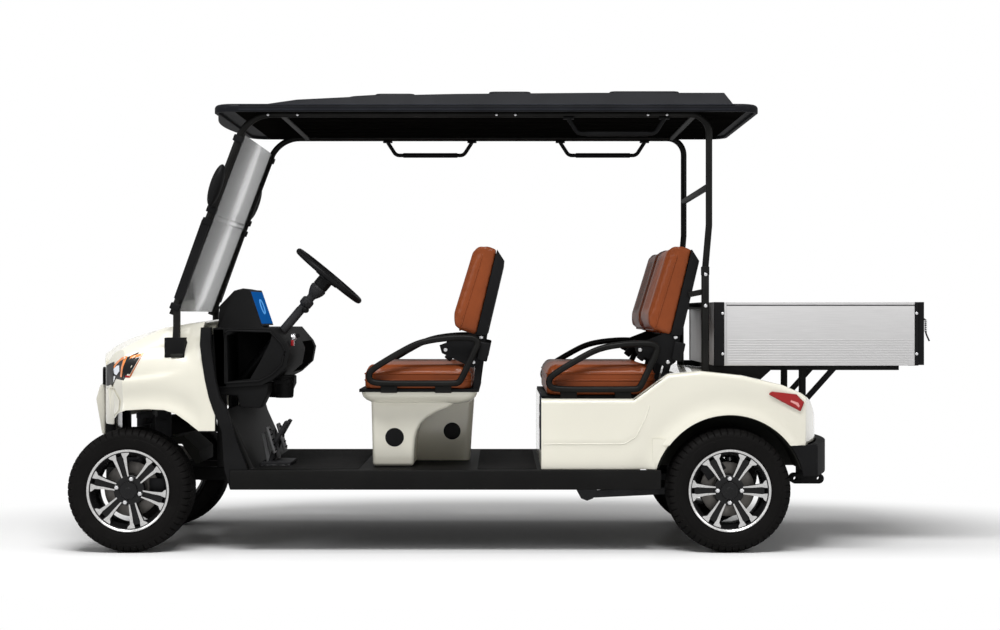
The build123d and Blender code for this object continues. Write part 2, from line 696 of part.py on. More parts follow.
def roof_panel():
    """Moulded roof: lipped edge, raised middle and three cross ribs."""
    x0, x1 = ROOF_X
    plan = at(extrude(RectangleRounded(x1 - x0, 2 * ROOF_HALF_W, 90), ROOF_SHELF_Z - ROOF_LIP_Z),
              (x0 + x1) / 2, 0, ROOF_LIP_Z)
    plan = fillet(plan.edges().group_by(Axis.Z)[-1], 16)
    bow = at(extrude(make_face([ThreePointArc((x0 + 6, -430), (x0 - 45, 0), (x0 + 6, 430)),
                                Line((x0 + 6, 430), (x0 + 6, -430))]), ROOF_SHELF_Z - ROOF_LIP_Z - 14),
             z=ROOF_LIP_Z)
    p0, p1 = PLATEAU_X
    base = at(Rectangle(p1 - p0, 2 * PLATEAU_HALF_W), (p0 + p1) / 2, 0, ROOF_SHELF_Z - 10)
    front_run = 260.0
    top = at(Rectangle(p1 - p0 - front_run - 50, 2 * PLATEAU_HALF_W - 120),
             (p0 + p1 + front_run - 50) / 2, 0, ROOF_TOP_Z)
    plateau = loft([base, top])
    ribs = [at(extrude(RectangleRounded(165, 2 * PLATEAU_HALF_W - 190, 30), ROOF_RIB + 20), x, 0, ROOF_TOP_Z - 20)
            for x in (-475.0, 42.0, 553.0)]
    outer = fuse([plan, bow, plateau] + ribs)
    hollow = at(extrude(RectangleRounded(x1 - x0 - 30, 2 * ROOF_HALF_W - 30, 75), RAIL_Z + TUBE_R - ROOF_LIP_Z),
                (x0 + x1) / 2, 0, ROOF_LIP_Z)
    inner_base = at(Rectangle(p1 - p0 - 60, 2 * PLATEAU_HALF_W - 60), (p0 + p1) / 2, 0, RAIL_Z)
    inner_top = at(Rectangle(p1 - p0 - front_run - 110, 2 * PLATEAU_HALF_W - 180),
                   (p0 + p1 + front_run - 50) / 2, 0, ROOF_TOP_Z - 12)
    return outer - hollow - loft([inner_base, inner_top])


def grab_handles():
    """Three handles under the roof rails."""
    handles = []
    for x0, side in ((-565.0, 1), (265.0, 1), (265.0, -1)):
        x1 = x0 + 445
        y = side * POST_Y
        top = RAIL_Z - TUBE_R
        end = top - 6
        bar = tube([(x0 + 20, y, end), (x0 + 60, y, 1768), (x1 - 60, y, 1768), (x1 - 20, y, end)], 9, 30)
        pads = [box((x - 22, x + 22), (y - 13, y + 13), (top - 8, top)) for x in (x0 + 20, x1 - 20)]
        handles.append(fuse([bar] + pads))
    return group(handles)


def mirrors():
    """A leaf-shaped mirror on each pillar."""
    parts = []
    for side in (-1, 1):
        z = 1545.0
        x = pillar_x(z)
        pod = Pos(x - 10, side * (POST_Y + 62), z) * Rot(0, 18, 0) * Ellipsoid(26, 44, 92)
        arm = rod((x, side * POST_Y, z - 8), (x - 6, side * (POST_Y + 50), z - 4), 8)
        pillar = rod((pillar_x(z - 90), side * POST_Y, z - 90), (pillar_x(z + 90), side * POST_Y, z + 90), TUBE_R)
        parts.append(fuse([pod, arm]) - pillar)
    return group(parts)


def Ellipsoid(rx, ry, rz):
    """A solid ball squashed to three radii."""
    return scale(Sphere(1.0), by=(rx, ry, rz))


# ================================================================ steering and pedals
def steer_frame():
    """Plane at the steering wheel's centre; its normal runs up the column."""
    angle = math.radians(90 - STEER_TILT)
    return Plane(origin=STEER_CENTRE, x_dir=(0, 1, 0), z_dir=(math.cos(angle), 0, math.sin(angle)))


def steering_column():
    """Column tube and its tilt joint, stopping just under the wheel's hub."""
    top = steer_frame().offset(-HUB_DROP - RUN_GAP)
    column = extrude(top * Circle(COLUMN_R), -COLUMN_L + HUB_DROP)
    joint = extrude(top * Circle(36), -52)
    return fuse([column, joint])


def steering_wheel():
    """Rim, three spokes and hub."""
    plane = steer_frame()
    rim = plane * Torus(STEER_WHEEL_R - STEER_RIM_R, STEER_RIM_R)
    hub = extrude(plane.offset(-HUB_DROP) * Circle(34), HUB_DROP - 8)
    pad = extrude(plane.offset(-22) * Circle(56), 22)
    spokes = []
    for angle in (0, 180, 270):
        arm = box((40, STEER_WHEEL_R - STEER_RIM_R), (-16, 16), (-12, -2))
        spokes.append(plane.location * (Rot(0, 0, angle) * arm))
    return fuse([rim, hub, pad] + spokes)


def pedals():
    """Two pedals on one base."""
    base = box((-1030, -905), (-420, -180), (FLOOR_TOP, FLOOR_TOP + 18))
    parts = [base]
    for y in (-370.0, -240.0):
        stem = flat_bar((-1000, y, FLOOR_TOP + 10), (-958, y, 484), 16, 10)
        pad = flat_bar((-975, y, 452), (-925, y, 540), 14, 70)
        parts += [stem, pad]
    return fuse(parts)


# ================================================================ seats
def front_seat_base():
    """Moulded pedestal under the front seat: flange, front block and rear tunnel."""
    wall = 8.0
    flange = box((-595, -103), (-500, 500), (620, PAN_TOP - PAN_T))
    block = box((-556, -368), (-446, 446), (FLOOR_TOP, 640))
    tunnel = box((-400, -139), (-100, 100), (FLOOR_TOP, 640))
    blend = side_plate([(-372, 640), (-372, 540), (-330, 590), (-250, 625), (-250, 640)], -446, 446)
    outer = fuse([flange, block, tunnel, blend])
    inner = fuse([
        box((-595 + wall, -103 - wall), (-492, 492), (628, PAN_TOP - PAN_T - wall)),
        box((-556 + wall, -368 - wall), (-438, 438), (FLOOR_TOP - 1, 660)),
        box((-420, -139 - wall), (-92, 92), (FLOOR_TOP - 1, 650)),
    ])
    return outer - inner


def seat_frame(shift, pan_x, pan_z):
    """Pan, back shells and the uprights between them; shift moves the backs along."""
    pan = box(pan_x, (-SEAT_HALF_W, SEAT_HALF_W), pan_z)
    parts = [pan]
    half_gap = SEAT_MID_GAP / 2
    top = pan_z[1]
    for side in (-1, 1):
        low, high = sorted((side * half_gap, side * SEAT_HALF_W))
        shell = [(-17, 1278), (14, 1229), (-60, 915), (-106, 915)]
        parts.append(at(side_plate(shell, low, high), shift))
        for y in (side * 90.0, side * (SEAT_HALF_W - 35)):
            parts.append(side_plate([(pan_x[1] - 24, top - 2), (pan_x[1], top - 2), (shift - 62, 930),
                                     (shift - 100, 930)], y - 5, y + 5))
    return fuse(parts)


def cushion(span, pan_top):
    """Seat cushion: a block with rounded corners; span is its run along the cart."""
    block = box(span, (-SEAT_HALF_W + 4, SEAT_HALF_W - 4), (pan_top + RUN_GAP, CUSHION_TOP))
    return fillet(block.edges().filter_by(Axis.Z), 40)


def seat_backs(shift):
    """Two back cushions in front of their shells."""
    parts = []
    half_gap = SEAT_MID_GAP / 2
    gap = RUN_GAP
    outline = [(-196, 987), (-103, 1293), (-90, 1301), (-17 - gap, 1278 + gap), (-106 - gap, 915), (-200, 945)]
    for side in (-1, 1):
        parts.append(side_plate(outline, *sorted((side * half_gap, side * SEAT_HALF_W))))
    return at(group(parts), shift)


def armrests():
    """A bent tube loop at each end of both seat rows, bolted to the seat pan."""
    rows = [  # loop corners (x, z), then the tab's run and the pan's top
        ([(-160, 700), (-564, 700), (-578, 752), (-390, 862), (-88, 908), (-132, 712)],
         (-340, -140), PAN_TOP),
        ([(560, 690), (219, 690), (200, 735), (360, 842), (672, 872), (612, 708)],
         (380, 540), REAR_PAN_TOP),
    ]
    loops = []
    for corners, tab_x, pan_top in rows:
        for side in (-1, 1):
            y = side * ARM_TUBE_Y
            low = corners[0][1]
            loop = tube([(x, y, z) for x, z in corners], ARM_TUBE_R, [30, 26, 60, 34])
            tab_y = sorted((side * SEAT_HALF_W, side * (ARM_TUBE_Y + 4)))
            loops.append(fuse([loop, box(tab_x, tab_y, (pan_top - 11, low + 4))]))
    return group(loops)


# ================================================================ rear bodywork
def rear_outline(inset=0.0):
    """Side view of the rear body in its middle plane."""
    i = inset
    return [(169 + i, 352), (169 + i, REAR_DECK_Z - i), (558 - i, REAR_DECK_Z - i), (672 - i, 731 - i),
            (701, 752 - i), (835, 765 - i), (1015, 745 - i), (1185, 705 - i), (1262 - i, 672 - i),
            (1312 - i, 636 - i), (1345 - i, 590), (1375 - i, 530), (1394 - i, 455), (1211, 451), (1211, 352)]


def rear_limit(inset):
    """Everything ahead of the bowed tail, as a tall plan shape."""
    back = REAR_BOW_X - inset
    half = BODY_HALF_W
    sag = REAR_BOW_R - math.sqrt(REAR_BOW_R ** 2 - half ** 2)
    edge = [ThreePointArc((back - sag, half), (back, 0), (back - sag, -half)),
            Line((back - sag, -half), (0, -half)), Line((0, -half), (0, half)), Line((0, half), (back - sag, half))]
    return extrude(make_face(edge), 1000)


def rear_body():
    """Hollow rear body: seat deck between the wings, wheel arches, post and strut holes."""
    wall = BODY_WALL
    outer = side_plate(rear_outline(), -BODY_HALF_W, BODY_HALF_W) & rear_limit(0)
    crest = [edge for edge in outer.edges().filter_by(lambda e: abs(e.center().Y) > BODY_HALF_W - 1)
             if edge.center().Z > 600 and edge.center().X > 175]
    outer = fillet(crest, 22)
    outer -= box((100, SEAT_WELL_X), (-SEAT_WELL_Y, SEAT_WELL_Y), (REAR_DECK_Z, 900))
    inner = side_plate(rear_outline(wall), wall - BODY_HALF_W, BODY_HALF_W - wall) & rear_limit(wall)
    inner -= box((100, SEAT_WELL_X + wall), (-SEAT_WELL_Y - wall, SEAT_WELL_Y + wall), (REAR_DECK_Z - wall, 900))
    below = box((180, 1400), (-540, 540), (300, 460))
    shell = outer - inner - below
    post_x = REAR_POST_X - REAR_POST_SET
    for side in (-1, 1):
        low, high = sorted((side * LINER_IN_Y, side * CUT_REACH))
        shell -= disc_y(REAR_ARCH_R, low, high, REAR_AXLE_X, TYRE_R + 3)
        shell -= box((REAR_AXLE_X - REAR_ARCH_R, REAR_AXLE_X + 256), (low, high), (200, 452))
        shell -= rod((post_x, side * POST_Y, 600), (post_x, side * POST_Y, 900), SLEEVE_R + RUN_GAP)
        y = side * STRUT_Y
        reach = STRUT_W / 2 + 3
        shell -= box((STRUT_X - reach, STRUT_X + reach), (y - reach, y + reach), (440, 800))
    return shell


def wheel_liners():
    """Inner wheel houses over the rear tyres."""
    parts = []
    for side in (-1, 1):
        low, high = sorted((side * (LINER_IN_Y + LINER_T), side * (BODY_HALF_W - BODY_WALL)))
        centre = (REAR_AXLE_X, TYRE_R + 3)
        ring = (disc_y(REAR_ARCH_R, low, high, *centre) - disc_y(REAR_ARCH_R - LINER_T, low, high, *centre))
        wall_low, wall_high = sorted((side * LINER_IN_Y, side * (LINER_IN_Y + LINER_T)))
        wall = disc_y(REAR_ARCH_R, wall_low, wall_high, *centre) - disc_y(160, wall_low, wall_high, *centre)
        liner = fuse([ring, wall])
        liner -= box((500, 1400), (low - 50, high + 50), (-100, 352))
        parts.append(liner)
    return group(parts)


def tail_lamps():
    """A lamp wrapped round each rear corner."""
    outline = [(1122, 667), (1134, 679), (1240, 667), (1273, 633), (1257, 595), (1176, 637)]
    return group(both_sides(side_plate(outline, -BODY_HALF_W - 8, -BODY_HALF_W)))


def rear_bumper():
    """Black bumper across the bowed tail, wrapped forward to the wheel arches."""
    low, high = BUMPER_Z
    band = rear_limit(-BUMPER_PROUD) - rear_limit(-6)
    bar = band & box((1200, 1500), (-BODY_HALF_W, BODY_HALF_W), BUMPER_Z)
    parts = [bar]
    for side in (-1, 1):
        wing = box((1216, 1330), sorted((side * (BODY_HALF_W - 26), side * BODY_HALF_W)), (low, high - 5))
        parts.append(wing - disc_y(REAR_ARCH_R + 1, side * 300, side * CUT_REACH, REAR_AXLE_X, TYRE_R + 3))
        y = side * RAIL_Y
        parts.append(box((FRAME_REAR_X, REAR_BOW_X + 12), (y - 18, y + 18), (376, 424)))
    return fuse(parts)


def tow_bracket():
    """Two plates under the bumper with a cross pin hole at each end."""
    low, high = TOW_Z
    front, rear = TOW_HOLE_X
    parts = []
    for y in (-TOW_GAP / 2 - TOW_PLATE, TOW_GAP / 2):
        plate = box((front, rear), (y, y + TOW_PLATE), (low, high))
        ends = [disc_y((high - low) / 2, y, y + TOW_PLATE, x, (low + high) / 2) for x in (front, rear)]
        riser = box((front + 10, rear - 20), (y, y + TOW_PLATE), (high - 2, BUMPER_Z[0] + 60))
        parts.append(fuse([plate, riser] + ends))
    parts.append(box((front + 12, front + 40), (-TOW_GAP / 2, TOW_GAP / 2), (high - 8, BUMPER_Z[0])))
    body = fuse(parts)
    reach = TOW_GAP / 2 + TOW_PLATE + 5
    for x in TOW_HOLE_X:
        body -= disc_y(TOW_PIN_R, -reach, reach, x, (low + high) / 2)
    return body - rear_bumper()


# ================================================================ cargo box
def cargo_box():
    """Open load box: floor, front wall, two sides, their top rails and the gate's hinge ears."""
    x0, x1 = BOX_X[0], BOX_END_X
    z0, z1 = BOX_Z
    floor = box((x0, x1), (-BOX_HALF_W, BOX_HALF_W), (z0, z0 + BOX_WALL))
    front = box((x0, x0 + BOX_WALL), (-BOX_HALF_W, BOX_HALF_W), (z0, z1))
    parts = [floor, front, box((x0, x0 + BOX_RAIL), (-BOX_HALF_W, BOX_HALF_W), (z1 - 20, z1))]
    for side in (-1, 1):
        wall = sorted((side * (BOX_HALF_W - BOX_WALL), side * BOX_HALF_W))
        rail = sorted((side * (BOX_HALF_W - BOX_RAIL), side * BOX_HALF_W))
        parts.append(box((x0, x1), wall, (z0, z1)))
        parts.append(box((x0, x1), rail, (z1 - 20, z1)))
    for y, side in [(y, side) for y in GATE_HINGES_Y for side in (-1, 1)]:
        near = y + side * (GATE_BARREL_HALF + RUN_GAP)
        far = near + side * BOX_BARREL
        parts.append(disc_y(GATE_HINGE_R, near, far, GATE_HINGE_X, GATE_HINGE_Z))
        parts.append(box((x1 - 2, GATE_HINGE_X), sorted((near, far)), (z0, z0 + 6)))
    return fuse(parts)


def cargo_posts():
    """Black corner posts outside the box's four corners."""
    x0, x1 = BOX_X[0], BOX_END_X
    return group([box((x, x + POST_W), sorted((side * BOX_HALF_W, side * (BOX_HALF_W + 5))), BOX_Z)
                  for x in (x0 - 4, x1 - POST_W) for side in (-1, 1)])


def cargo_supports():
    """Struts, braces, beams and tapered saddles from the frame and body to the box's floor."""
    parts = []
    z0 = BOX_Z[0]
    half = STRUT_W / 2
    foot = FRAME_TOP + KICK_UP
    for side in (-1, 1):
        y = side * STRUT_Y
        parts.append(box((STRUT_X - half, STRUT_X + half), (y - half, y + half), (foot, z0)))
        parts.append(box((930, 1740), (y - half, y + half), (z0 - 26, z0)))
        parts.append(flat_bar((STRUT_X + 8, y, 622), (STRUT_X + 143, y, z0 - 12), 24, 20))
        saddle = [(870, z0), (870, 761.5), (1015, 745.5), (1106, 725), (1150, z0 - 20), (1150, z0)]
        parts.append(side_plate(saddle, *sorted((side * 440, side * 470))))
    parts.append(box((935, 971), (-470, 470), (z0 - 26, z0)))
    return fuse(parts)


def tailgate():
    """Rear gate with its hinge barrels along the lower edge and two latches."""
    x1 = BOX_X[1]
    z0, z1 = BOX_Z
    half = BOX_HALF_W - 4
    parts = [box((x1 - GATE_T, x1), (-half, half), (z0 + BOX_WALL + 4, z1)),
             box((x1 - GATE_T, x1 + 6), (-half, half), (z1 - 22, z1))]
    for side in (-1, 1):
        parts.append(box((x1 - 2, x1 + LATCH_REACH), sorted((side * 420, side * 448)), LATCH_Z))
    for y in GATE_HINGES_Y:
        low, high = y - GATE_BARREL_HALF, y + GATE_BARREL_HALF
        parts.append(disc_y(GATE_HINGE_R, low, high, GATE_HINGE_X, GATE_HINGE_Z))
        parts.append(box((x1 - 2, GATE_HINGE_X), (low, high), (GATE_HINGE_Z + 2, z0 + 44)))
    return fuse(parts)


# ================================================================ power
def battery_pack():
    """Battery case under the rear seat, standing on the frame."""
    return box((200, 540), (-300, 300), (FLOOR_TOP, 600))


def build_parts():
    """Every node's shape by name."""
    ring, rim = tyre_ring(), rim_with_hub()
    parts = {}
    for name, (axle_x, side, turned) in WHEELS.items():
        parts["tyre_" + name] = place_wheel(ring, axle_x, side)
        parts["rim_" + name] = place_wheel(Rot(0, turned, 0) * rim, axle_x, side)
    parts["knuckle_left"] = knuckle(-1)
    parts["knuckle_right"] = knuckle(1)
    parts["tie_rods"] = tie_rods()
    parts["front_suspension"] = front_suspension()
    parts["rear_axle"] = rear_axle()
    parts["rear_suspension"] = rear_suspension()
    parts["ladder_frame"] = ladder_frame()
    parts["floor_deck"] = floor_deck()
    parts["front_cowl"] = front_cowl()
    parts["nose_panel"] = nose_panel()
    parts["grille"] = grille()
    parts["headlamps"] = headlamps()
    parts["cowl_trim"] = cowl_trim()
    parts["dashboard"] = dashboard()
    parts["windshield"] = windshield()
    parts["canopy_frame"] = fuse([canopy_frame(), rear_cross_tube()])
    parts["rear_posts"] = rear_posts()
    parts["roof_panel"] = roof_panel()
    parts["grab_handles"] = grab_handles()
    parts["mirrors"] = mirrors()
    parts["steering_column"] = steering_column()
    parts["steering_wheel"] = steering_wheel()
    parts["pedals"] = pedals()
    parts["front_seat_base"] = front_seat_base()
    rows = [  # name, shift of the backs, cushion's run, pan's faces
        ("front", 0.0, CUSHION_X, (PAN_TOP - PAN_T, PAN_TOP)),
        ("rear", SEAT_PITCH, REAR_CUSHION_X, (REAR_DECK_Z, REAR_PAN_TOP)),
    ]
    for row, shift, span, pan_z in rows:
        parts["seat_frame_" + row] = seat_frame(shift, (span[0] - 20, span[1] + 30), pan_z)
        parts["cushion_" + row] = cushion(span, pan_z[1])
        parts["backs_" + row] = seat_backs(shift)
    parts["armrests"] = armrests()
    parts["rear_body"] = rear_body()
    parts["wheel_liners"] = wheel_liners()
    parts["tail_lamps"] = tail_lamps()
    parts["rear_bumper"] = rear_bumper()
    parts["tow_bracket"] = tow_bracket()
    parts["cargo_box"] = cargo_box()
    parts["cargo_posts"] = cargo_posts()
    parts["cargo_supports"] = cargo_supports()
    parts["tailgate"] = tailgate()
    parts["battery_pack"] = battery_pack()
    return parts


def main():
    """Write one STEP file per node."""
    os.makedirs("parts", exist_ok=True)
    for name, shape in build_parts().items():
        export_step(shape, f"parts/{name}.step")


main()
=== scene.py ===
"""Looks of the four-seat electric golf cart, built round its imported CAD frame.

Metres.  +X points to the rear, +Y to the cart's right, +Z up; the ground is z = 0.
"""
import json
import math
import bmesh
import bpy
from mathutils import Matrix, Vector
from mathutils.bvhtree import BVHTree


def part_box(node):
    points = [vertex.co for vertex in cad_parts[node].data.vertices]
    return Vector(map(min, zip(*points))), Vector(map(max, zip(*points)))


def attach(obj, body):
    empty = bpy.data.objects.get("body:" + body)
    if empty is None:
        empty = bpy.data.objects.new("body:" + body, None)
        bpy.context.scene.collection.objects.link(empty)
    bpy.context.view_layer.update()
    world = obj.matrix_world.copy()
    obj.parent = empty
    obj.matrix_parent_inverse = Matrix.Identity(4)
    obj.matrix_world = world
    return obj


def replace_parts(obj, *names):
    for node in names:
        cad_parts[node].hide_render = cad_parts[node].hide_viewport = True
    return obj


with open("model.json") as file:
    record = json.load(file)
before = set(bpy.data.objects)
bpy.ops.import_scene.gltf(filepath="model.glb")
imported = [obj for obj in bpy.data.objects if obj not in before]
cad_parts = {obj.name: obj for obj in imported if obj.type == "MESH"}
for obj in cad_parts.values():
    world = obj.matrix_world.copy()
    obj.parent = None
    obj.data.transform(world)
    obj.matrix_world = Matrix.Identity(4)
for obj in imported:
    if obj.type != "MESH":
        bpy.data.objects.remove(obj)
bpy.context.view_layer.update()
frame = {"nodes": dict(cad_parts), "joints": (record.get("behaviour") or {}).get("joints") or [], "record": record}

NODES = frame["nodes"]
SIDES = (("left", -1), ("right", 1))

# ---------------------------------------------------------------- sizes read from the frame
JOINT_POS = {joint["name"]: Vector(joint["pos_m"]) for joint in frame["joints"] if "pos_m" in joint}
WHEELS = {
    corner: (JOINT_POS[corner + "_spin"], -1 if corner.endswith("left") else 1)
    for corner in ("front_left", "front_right", "rear_left", "rear_right")
}
TYRE_LOW, TYRE_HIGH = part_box("tyre_front_left")
TYRE_HALF_W = (TYRE_HIGH.y - TYRE_LOW.y) / 2


# ================================================================ materials
def shader_of(mat):
    """The material's Principled node."""
    return mat.node_tree.nodes["Principled BSDF"]


def new_material(name, color, rough, **sockets):
    """A Principled material; extra keywords set its sockets by name."""
    mat = bpy.data.materials.new(name)
    mat.use_nodes = True
    shader = shader_of(mat)
    shader.inputs["Base Color"].default_value = (*color, 1)
    shader.inputs["Roughness"].default_value = rough
    for key, value in sockets.items():
        shader.inputs[key.replace("_", " ").title().replace("Ior", "IOR")].default_value = value
    return mat


def outputs_of(tree, kind, inputs, **settings):
    """Outputs of a new shader node; its inputs are values, or the sockets that feed them."""
    made = tree.nodes.new("ShaderNode" + kind)
    for key, value in settings.items():
        setattr(made, key, value)
    for key, value in inputs.items():
        if isinstance(value, bpy.types.NodeSocket):
            tree.links.new(value, made.inputs[key])
        else:
            made.inputs[key].default_value = value
    return made.outputs


def coordinates(mat, stretch=(1, 1, 1)):
    """Object coordinates in metres, stretched per axis."""
    place = outputs_of(mat.node_tree, "TexCoord", {})["Object"]
    return outputs_of(mat.node_tree, "Mapping", {"Vector": place, "Scale": stretch})["Vector"]


def noise_value(mat, scale, detail=3.0, stretch=(1, 1, 1)):
    """A noise texture's value output."""
    inputs = {"Scale": scale, "Detail": detail, "Vector": coordinates(mat, stretch)}
    return outputs_of(mat.node_tree, "TexNoise", inputs)["Fac"]


def cell_value(mat, scale):
    """A Voronoi texture's distance output."""
    return outputs_of(mat.node_tree, "TexVoronoi", {"Scale": scale, "Vector": coordinates(mat)})["Distance"]


def add_bump(mat, value, strength, distance):
    """Adds a height to the material, on top of any bump it already has."""
    normal = shader_of(mat).inputs["Normal"]
    inputs = {"Strength": strength, "Distance": distance, "Height": value}
    if normal.is_linked:
        inputs["Normal"] = normal.links[0].from_socket
    mat.node_tree.links.new(outputs_of(mat.node_tree, "Bump", inputs)["Normal"], normal)


def vary_color(mat, value, color, *stops):
    """Base colour from a ramp over a value; stops are (position, shade of the colour)."""
    tree = mat.node_tree
    ramp = tree.nodes.new("ShaderNodeValToRGB")
    points = ramp.color_ramp.elements
    points[0].position, points[1].position = stops[0][0], stops[-1][0]
    for position, _ in stops[1:-1]:
        points.new(position)
    for point, (_, factor) in zip(points, stops):
        point.color = (*(min(1.0, c * factor) for c in color), 1)
    tree.links.new(value, ramp.inputs["Fac"])
    tree.links.new(ramp.outputs["Color"], shader_of(mat).inputs["Base Color"])


def vary_roughness(mat, value, low, high):
    """Roughness that runs from low to high over a value."""
    inputs = {"Value": value, "From Min": 0.3, "From Max": 0.7, "To Min": low, "To Max": high}
    span = outputs_of(mat.node_tree, "MapRange", inputs)["Result"]
    mat.node_tree.links.new(span, shader_of(mat).inputs["Roughness"])


def paint(name, color, rough=0.22, coat=0.6):
    """Gloss paint: faint mottling, orange peel and a clear coat."""
    mat = new_material(name, color, rough, coat_weight=coat, coat_roughness=0.06)
    vary_color(mat, noise_value(mat, 2.2), color, (0.3, 0.97), (0.7, 1.02))
    vary_roughness(mat, noise_value(mat, 5.0), rough * 0.8, rough * 1.2)
    add_bump(mat, noise_value(mat, 260.0, 1.0), 0.02, 0.0005)
    return mat


def plastic(name, color, rough, grain=900.0, depth=0.12, shine=0.14):
    """Moulded plastic with a fine grain and slow changes of gloss."""
    mat = new_material(name, color, rough, specular_ior_level=0.0, coat_weight=shine, coat_roughness=rough)
    vary_color(mat, noise_value(mat, 7.0), color, (0.3, 0.8), (0.7, 1.25))
    vary_roughness(mat, noise_value(mat, 14.0), rough - 0.07, rough + 0.08)
    add_bump(mat, cell_value(mat, grain), depth, 0.0006)
    return mat


def coated_metal(name, color, rough):
    """Powder-coated or painted steel with a slight texture."""
    mat = new_material(name, color, rough, specular_ior_level=0.0, coat_weight=0.16, coat_roughness=rough)
    vary_color(mat, noise_value(mat, 9.0), color, (0.35, 0.8), (0.7, 1.35))
    vary_roughness(mat, noise_value(mat, 22.0), rough - 0.06, rough + 0.08)
    add_bump(mat, noise_value(mat, 520.0, 2.0), 0.08, 0.0006)
    return mat


def bare_metal(name, color, rough, scale=300.0, depth=0.1):
    """Bare metal with a fine, uneven finish."""
    mat = new_material(name, color, rough, metallic=1.0)
    vary_color(mat, noise_value(mat, scale * 0.2), color, (0.3, 0.86), (0.7, 1.06))
    vary_roughness(mat, noise_value(mat, scale * 0.4), rough - 0.06, rough + 0.1)
    add_bump(mat, noise_value(mat, scale), depth, 0.0004)
    return mat


def leather(name, color):
    """Leather: pebbled grain, creases, uneven dye and sheen."""
    mat = new_material(name, color, 0.34, coat_weight=0.2, coat_roughness=0.17, specular_ior_level=0.0)
    vary_color(mat, noise_value(mat, 6.0, 5.0), color, (0.25, 0.84), (0.5, 1.0), (0.78, 1.16))
    vary_roughness(mat, noise_value(mat, 18.0), 0.24, 0.38)
    add_bump(mat, cell_value(mat, 420.0), 0.10, 0.0006)
    add_bump(mat, noise_value(mat, 60.0, 4.0), 0.05, 0.0018)
    return mat


def rubber(name, color):
    """Tyre rubber: nearly black, dusty in patches."""
    mat = new_material(name, color, 0.5, specular_ior_level=0.0, coat_weight=0.07, coat_roughness=0.5)
    vary_color(mat, noise_value(mat, 11.0, 6.0), color, (0.3, 0.8), (0.62, 1.0), (0.85, 1.5))
    vary_roughness(mat, noise_value(mat, 30.0), 0.42, 0.6)
    add_bump(mat, noise_value(mat, 700.0, 2.0), 0.1, 0.0006)
    return mat


def brushed(name, color):
    """Anodised box sections: long brush marks and a faint streak pattern."""
    mat = new_material(name, color, 0.5, metallic=0.55)
    fine = noise_value(mat, 320.0, 2.0, (0.03, 1, 1))
    vary_color(mat, fine, color, (0.3, 0.96), (0.7, 1.04))
    vary_roughness(mat, noise_value(mat, 6.0), 0.46, 0.56)
    add_bump(mat, fine, 0.03, 0.0003)
    return mat


DULL = {"specular_ior_level": 0.0}
GLOSSY = {"coat_weight": 1.0}
LOOKS = {  # material: its maker, colour and the maker's other values
    "body_cream": (paint, (0.80, 0.775, 0.665)),
    "roof_black": (plastic, (0.0095, 0.010, 0.012), 0.34, 400.0, 0.02, 0.12),
    "lining_black": (plastic, (0.0035, 0.0033, 0.003), 0.6, 400.0, 0.02, 0.0),
    "trim_black": (plastic, (0.0078, 0.0078, 0.0082), 0.42),
    "dash_black": (plastic, (0.0068, 0.0068, 0.007), 0.46),
    "liner_black": (plastic, (0.017, 0.017, 0.015), 0.5, 500.0),
    "floor_mat": (plastic, (0.0048, 0.0047, 0.0045), 0.5, 700.0, 0.12, 0.2),
    "wheel_grip": (plastic, (0.008, 0.008, 0.0085), 0.36, 1200.0, 0.02),
    "battery_case": (plastic, (0.06, 0.065, 0.07), 0.55),
    "rim_black": (plastic, (0.008, 0.008, 0.0085), 0.26, 600.0, 0.02, 0.35),
    "panel_grey": (plastic, (0.022, 0.024, 0.031), 0.42),
    "tube_black": (coated_metal, (0.0095, 0.0093, 0.0088), 0.34),
    "frame_black": (coated_metal, (0.0062, 0.0062, 0.0062), 0.42),
    "steel_dark": (coated_metal, (0.03, 0.03, 0.032), 0.42),
    "pedal_grey": (coated_metal, (0.21, 0.21, 0.215), 0.4),
    "steel_bright": (bare_metal, (0.62, 0.62, 0.63), 0.28),
    "rim_alloy": (bare_metal, (0.56, 0.555, 0.55), 0.24, 500.0, 0.04),
    "cast_grey": (bare_metal, (0.17, 0.16, 0.15), 0.5, 160.0, 0.2),
    "aluminium": (brushed, (0.56, 0.555, 0.555)),
    "seat_leather": (leather, (0.235, 0.057, 0.018)),
    "tyre": (rubber, (0.0085, 0.008, 0.0078)),
}
PLAIN_LOOKS = {  # material: colour, roughness and its other sockets
    "glass": ((0.58, 0.585, 0.585), 0.15,
              {"transmission_weight": 0.9, "ior": 1.12, "specular_ior_level": 0.15}),
    "lamp_red": ((0.30, 0.005, 0.008), 0.12, {"specular_ior_level": 0.3}),
    "lamp_ruby": ((0.33, 0.005, 0.006), 0.2, {**DULL, "coat_weight": 0.7, "coat_roughness": 0.06}),
    # pink glossy plate on the tail lenses: a painted highlight, not a lamp colour
    "painted_highlight_pink": ((0.75, 0.30, 0.28), 0.08, GLOSSY),
    "lamp_orange": ((0.9, 0.24, 0.02), 0.25, {"coat_weight": 0.5}),
    "lamp_amber": ((0.42, 0.10, 0.015), 0.25, {"coat_weight": 0.5}),
    "lamp_clear": ((0.8, 0.82, 0.84), 0.06, {"metallic": 0.6}),
    "lamp_white": ((0.85, 0.90, 0.98), 0.1, GLOSSY),
    "lamp_black": ((0.006, 0.006, 0.007), 0.3, {**DULL, "coat_weight": 0.6, "coat_roughness": 0.12}),
    "screen_blue": ((0.004, 0.035, 0.16), 0.5,
                    {**DULL, "emission_color": (0.006, 0.105, 0.36, 1), "emission_strength": 0.6}),
    "screen_light": ((0.02, 0.10, 0.30), 0.5,
                     {**DULL, "emission_color": (0.12, 0.42, 0.85, 1), "emission_strength": 0.7}),
}
MAT = {name: maker(name, *values) for name, (maker, *values) in LOOKS.items()}
MAT.update({name: new_material(name, color, rough, **sockets)
            for name, (color, rough, sockets) in PLAIN_LOOKS.items()})
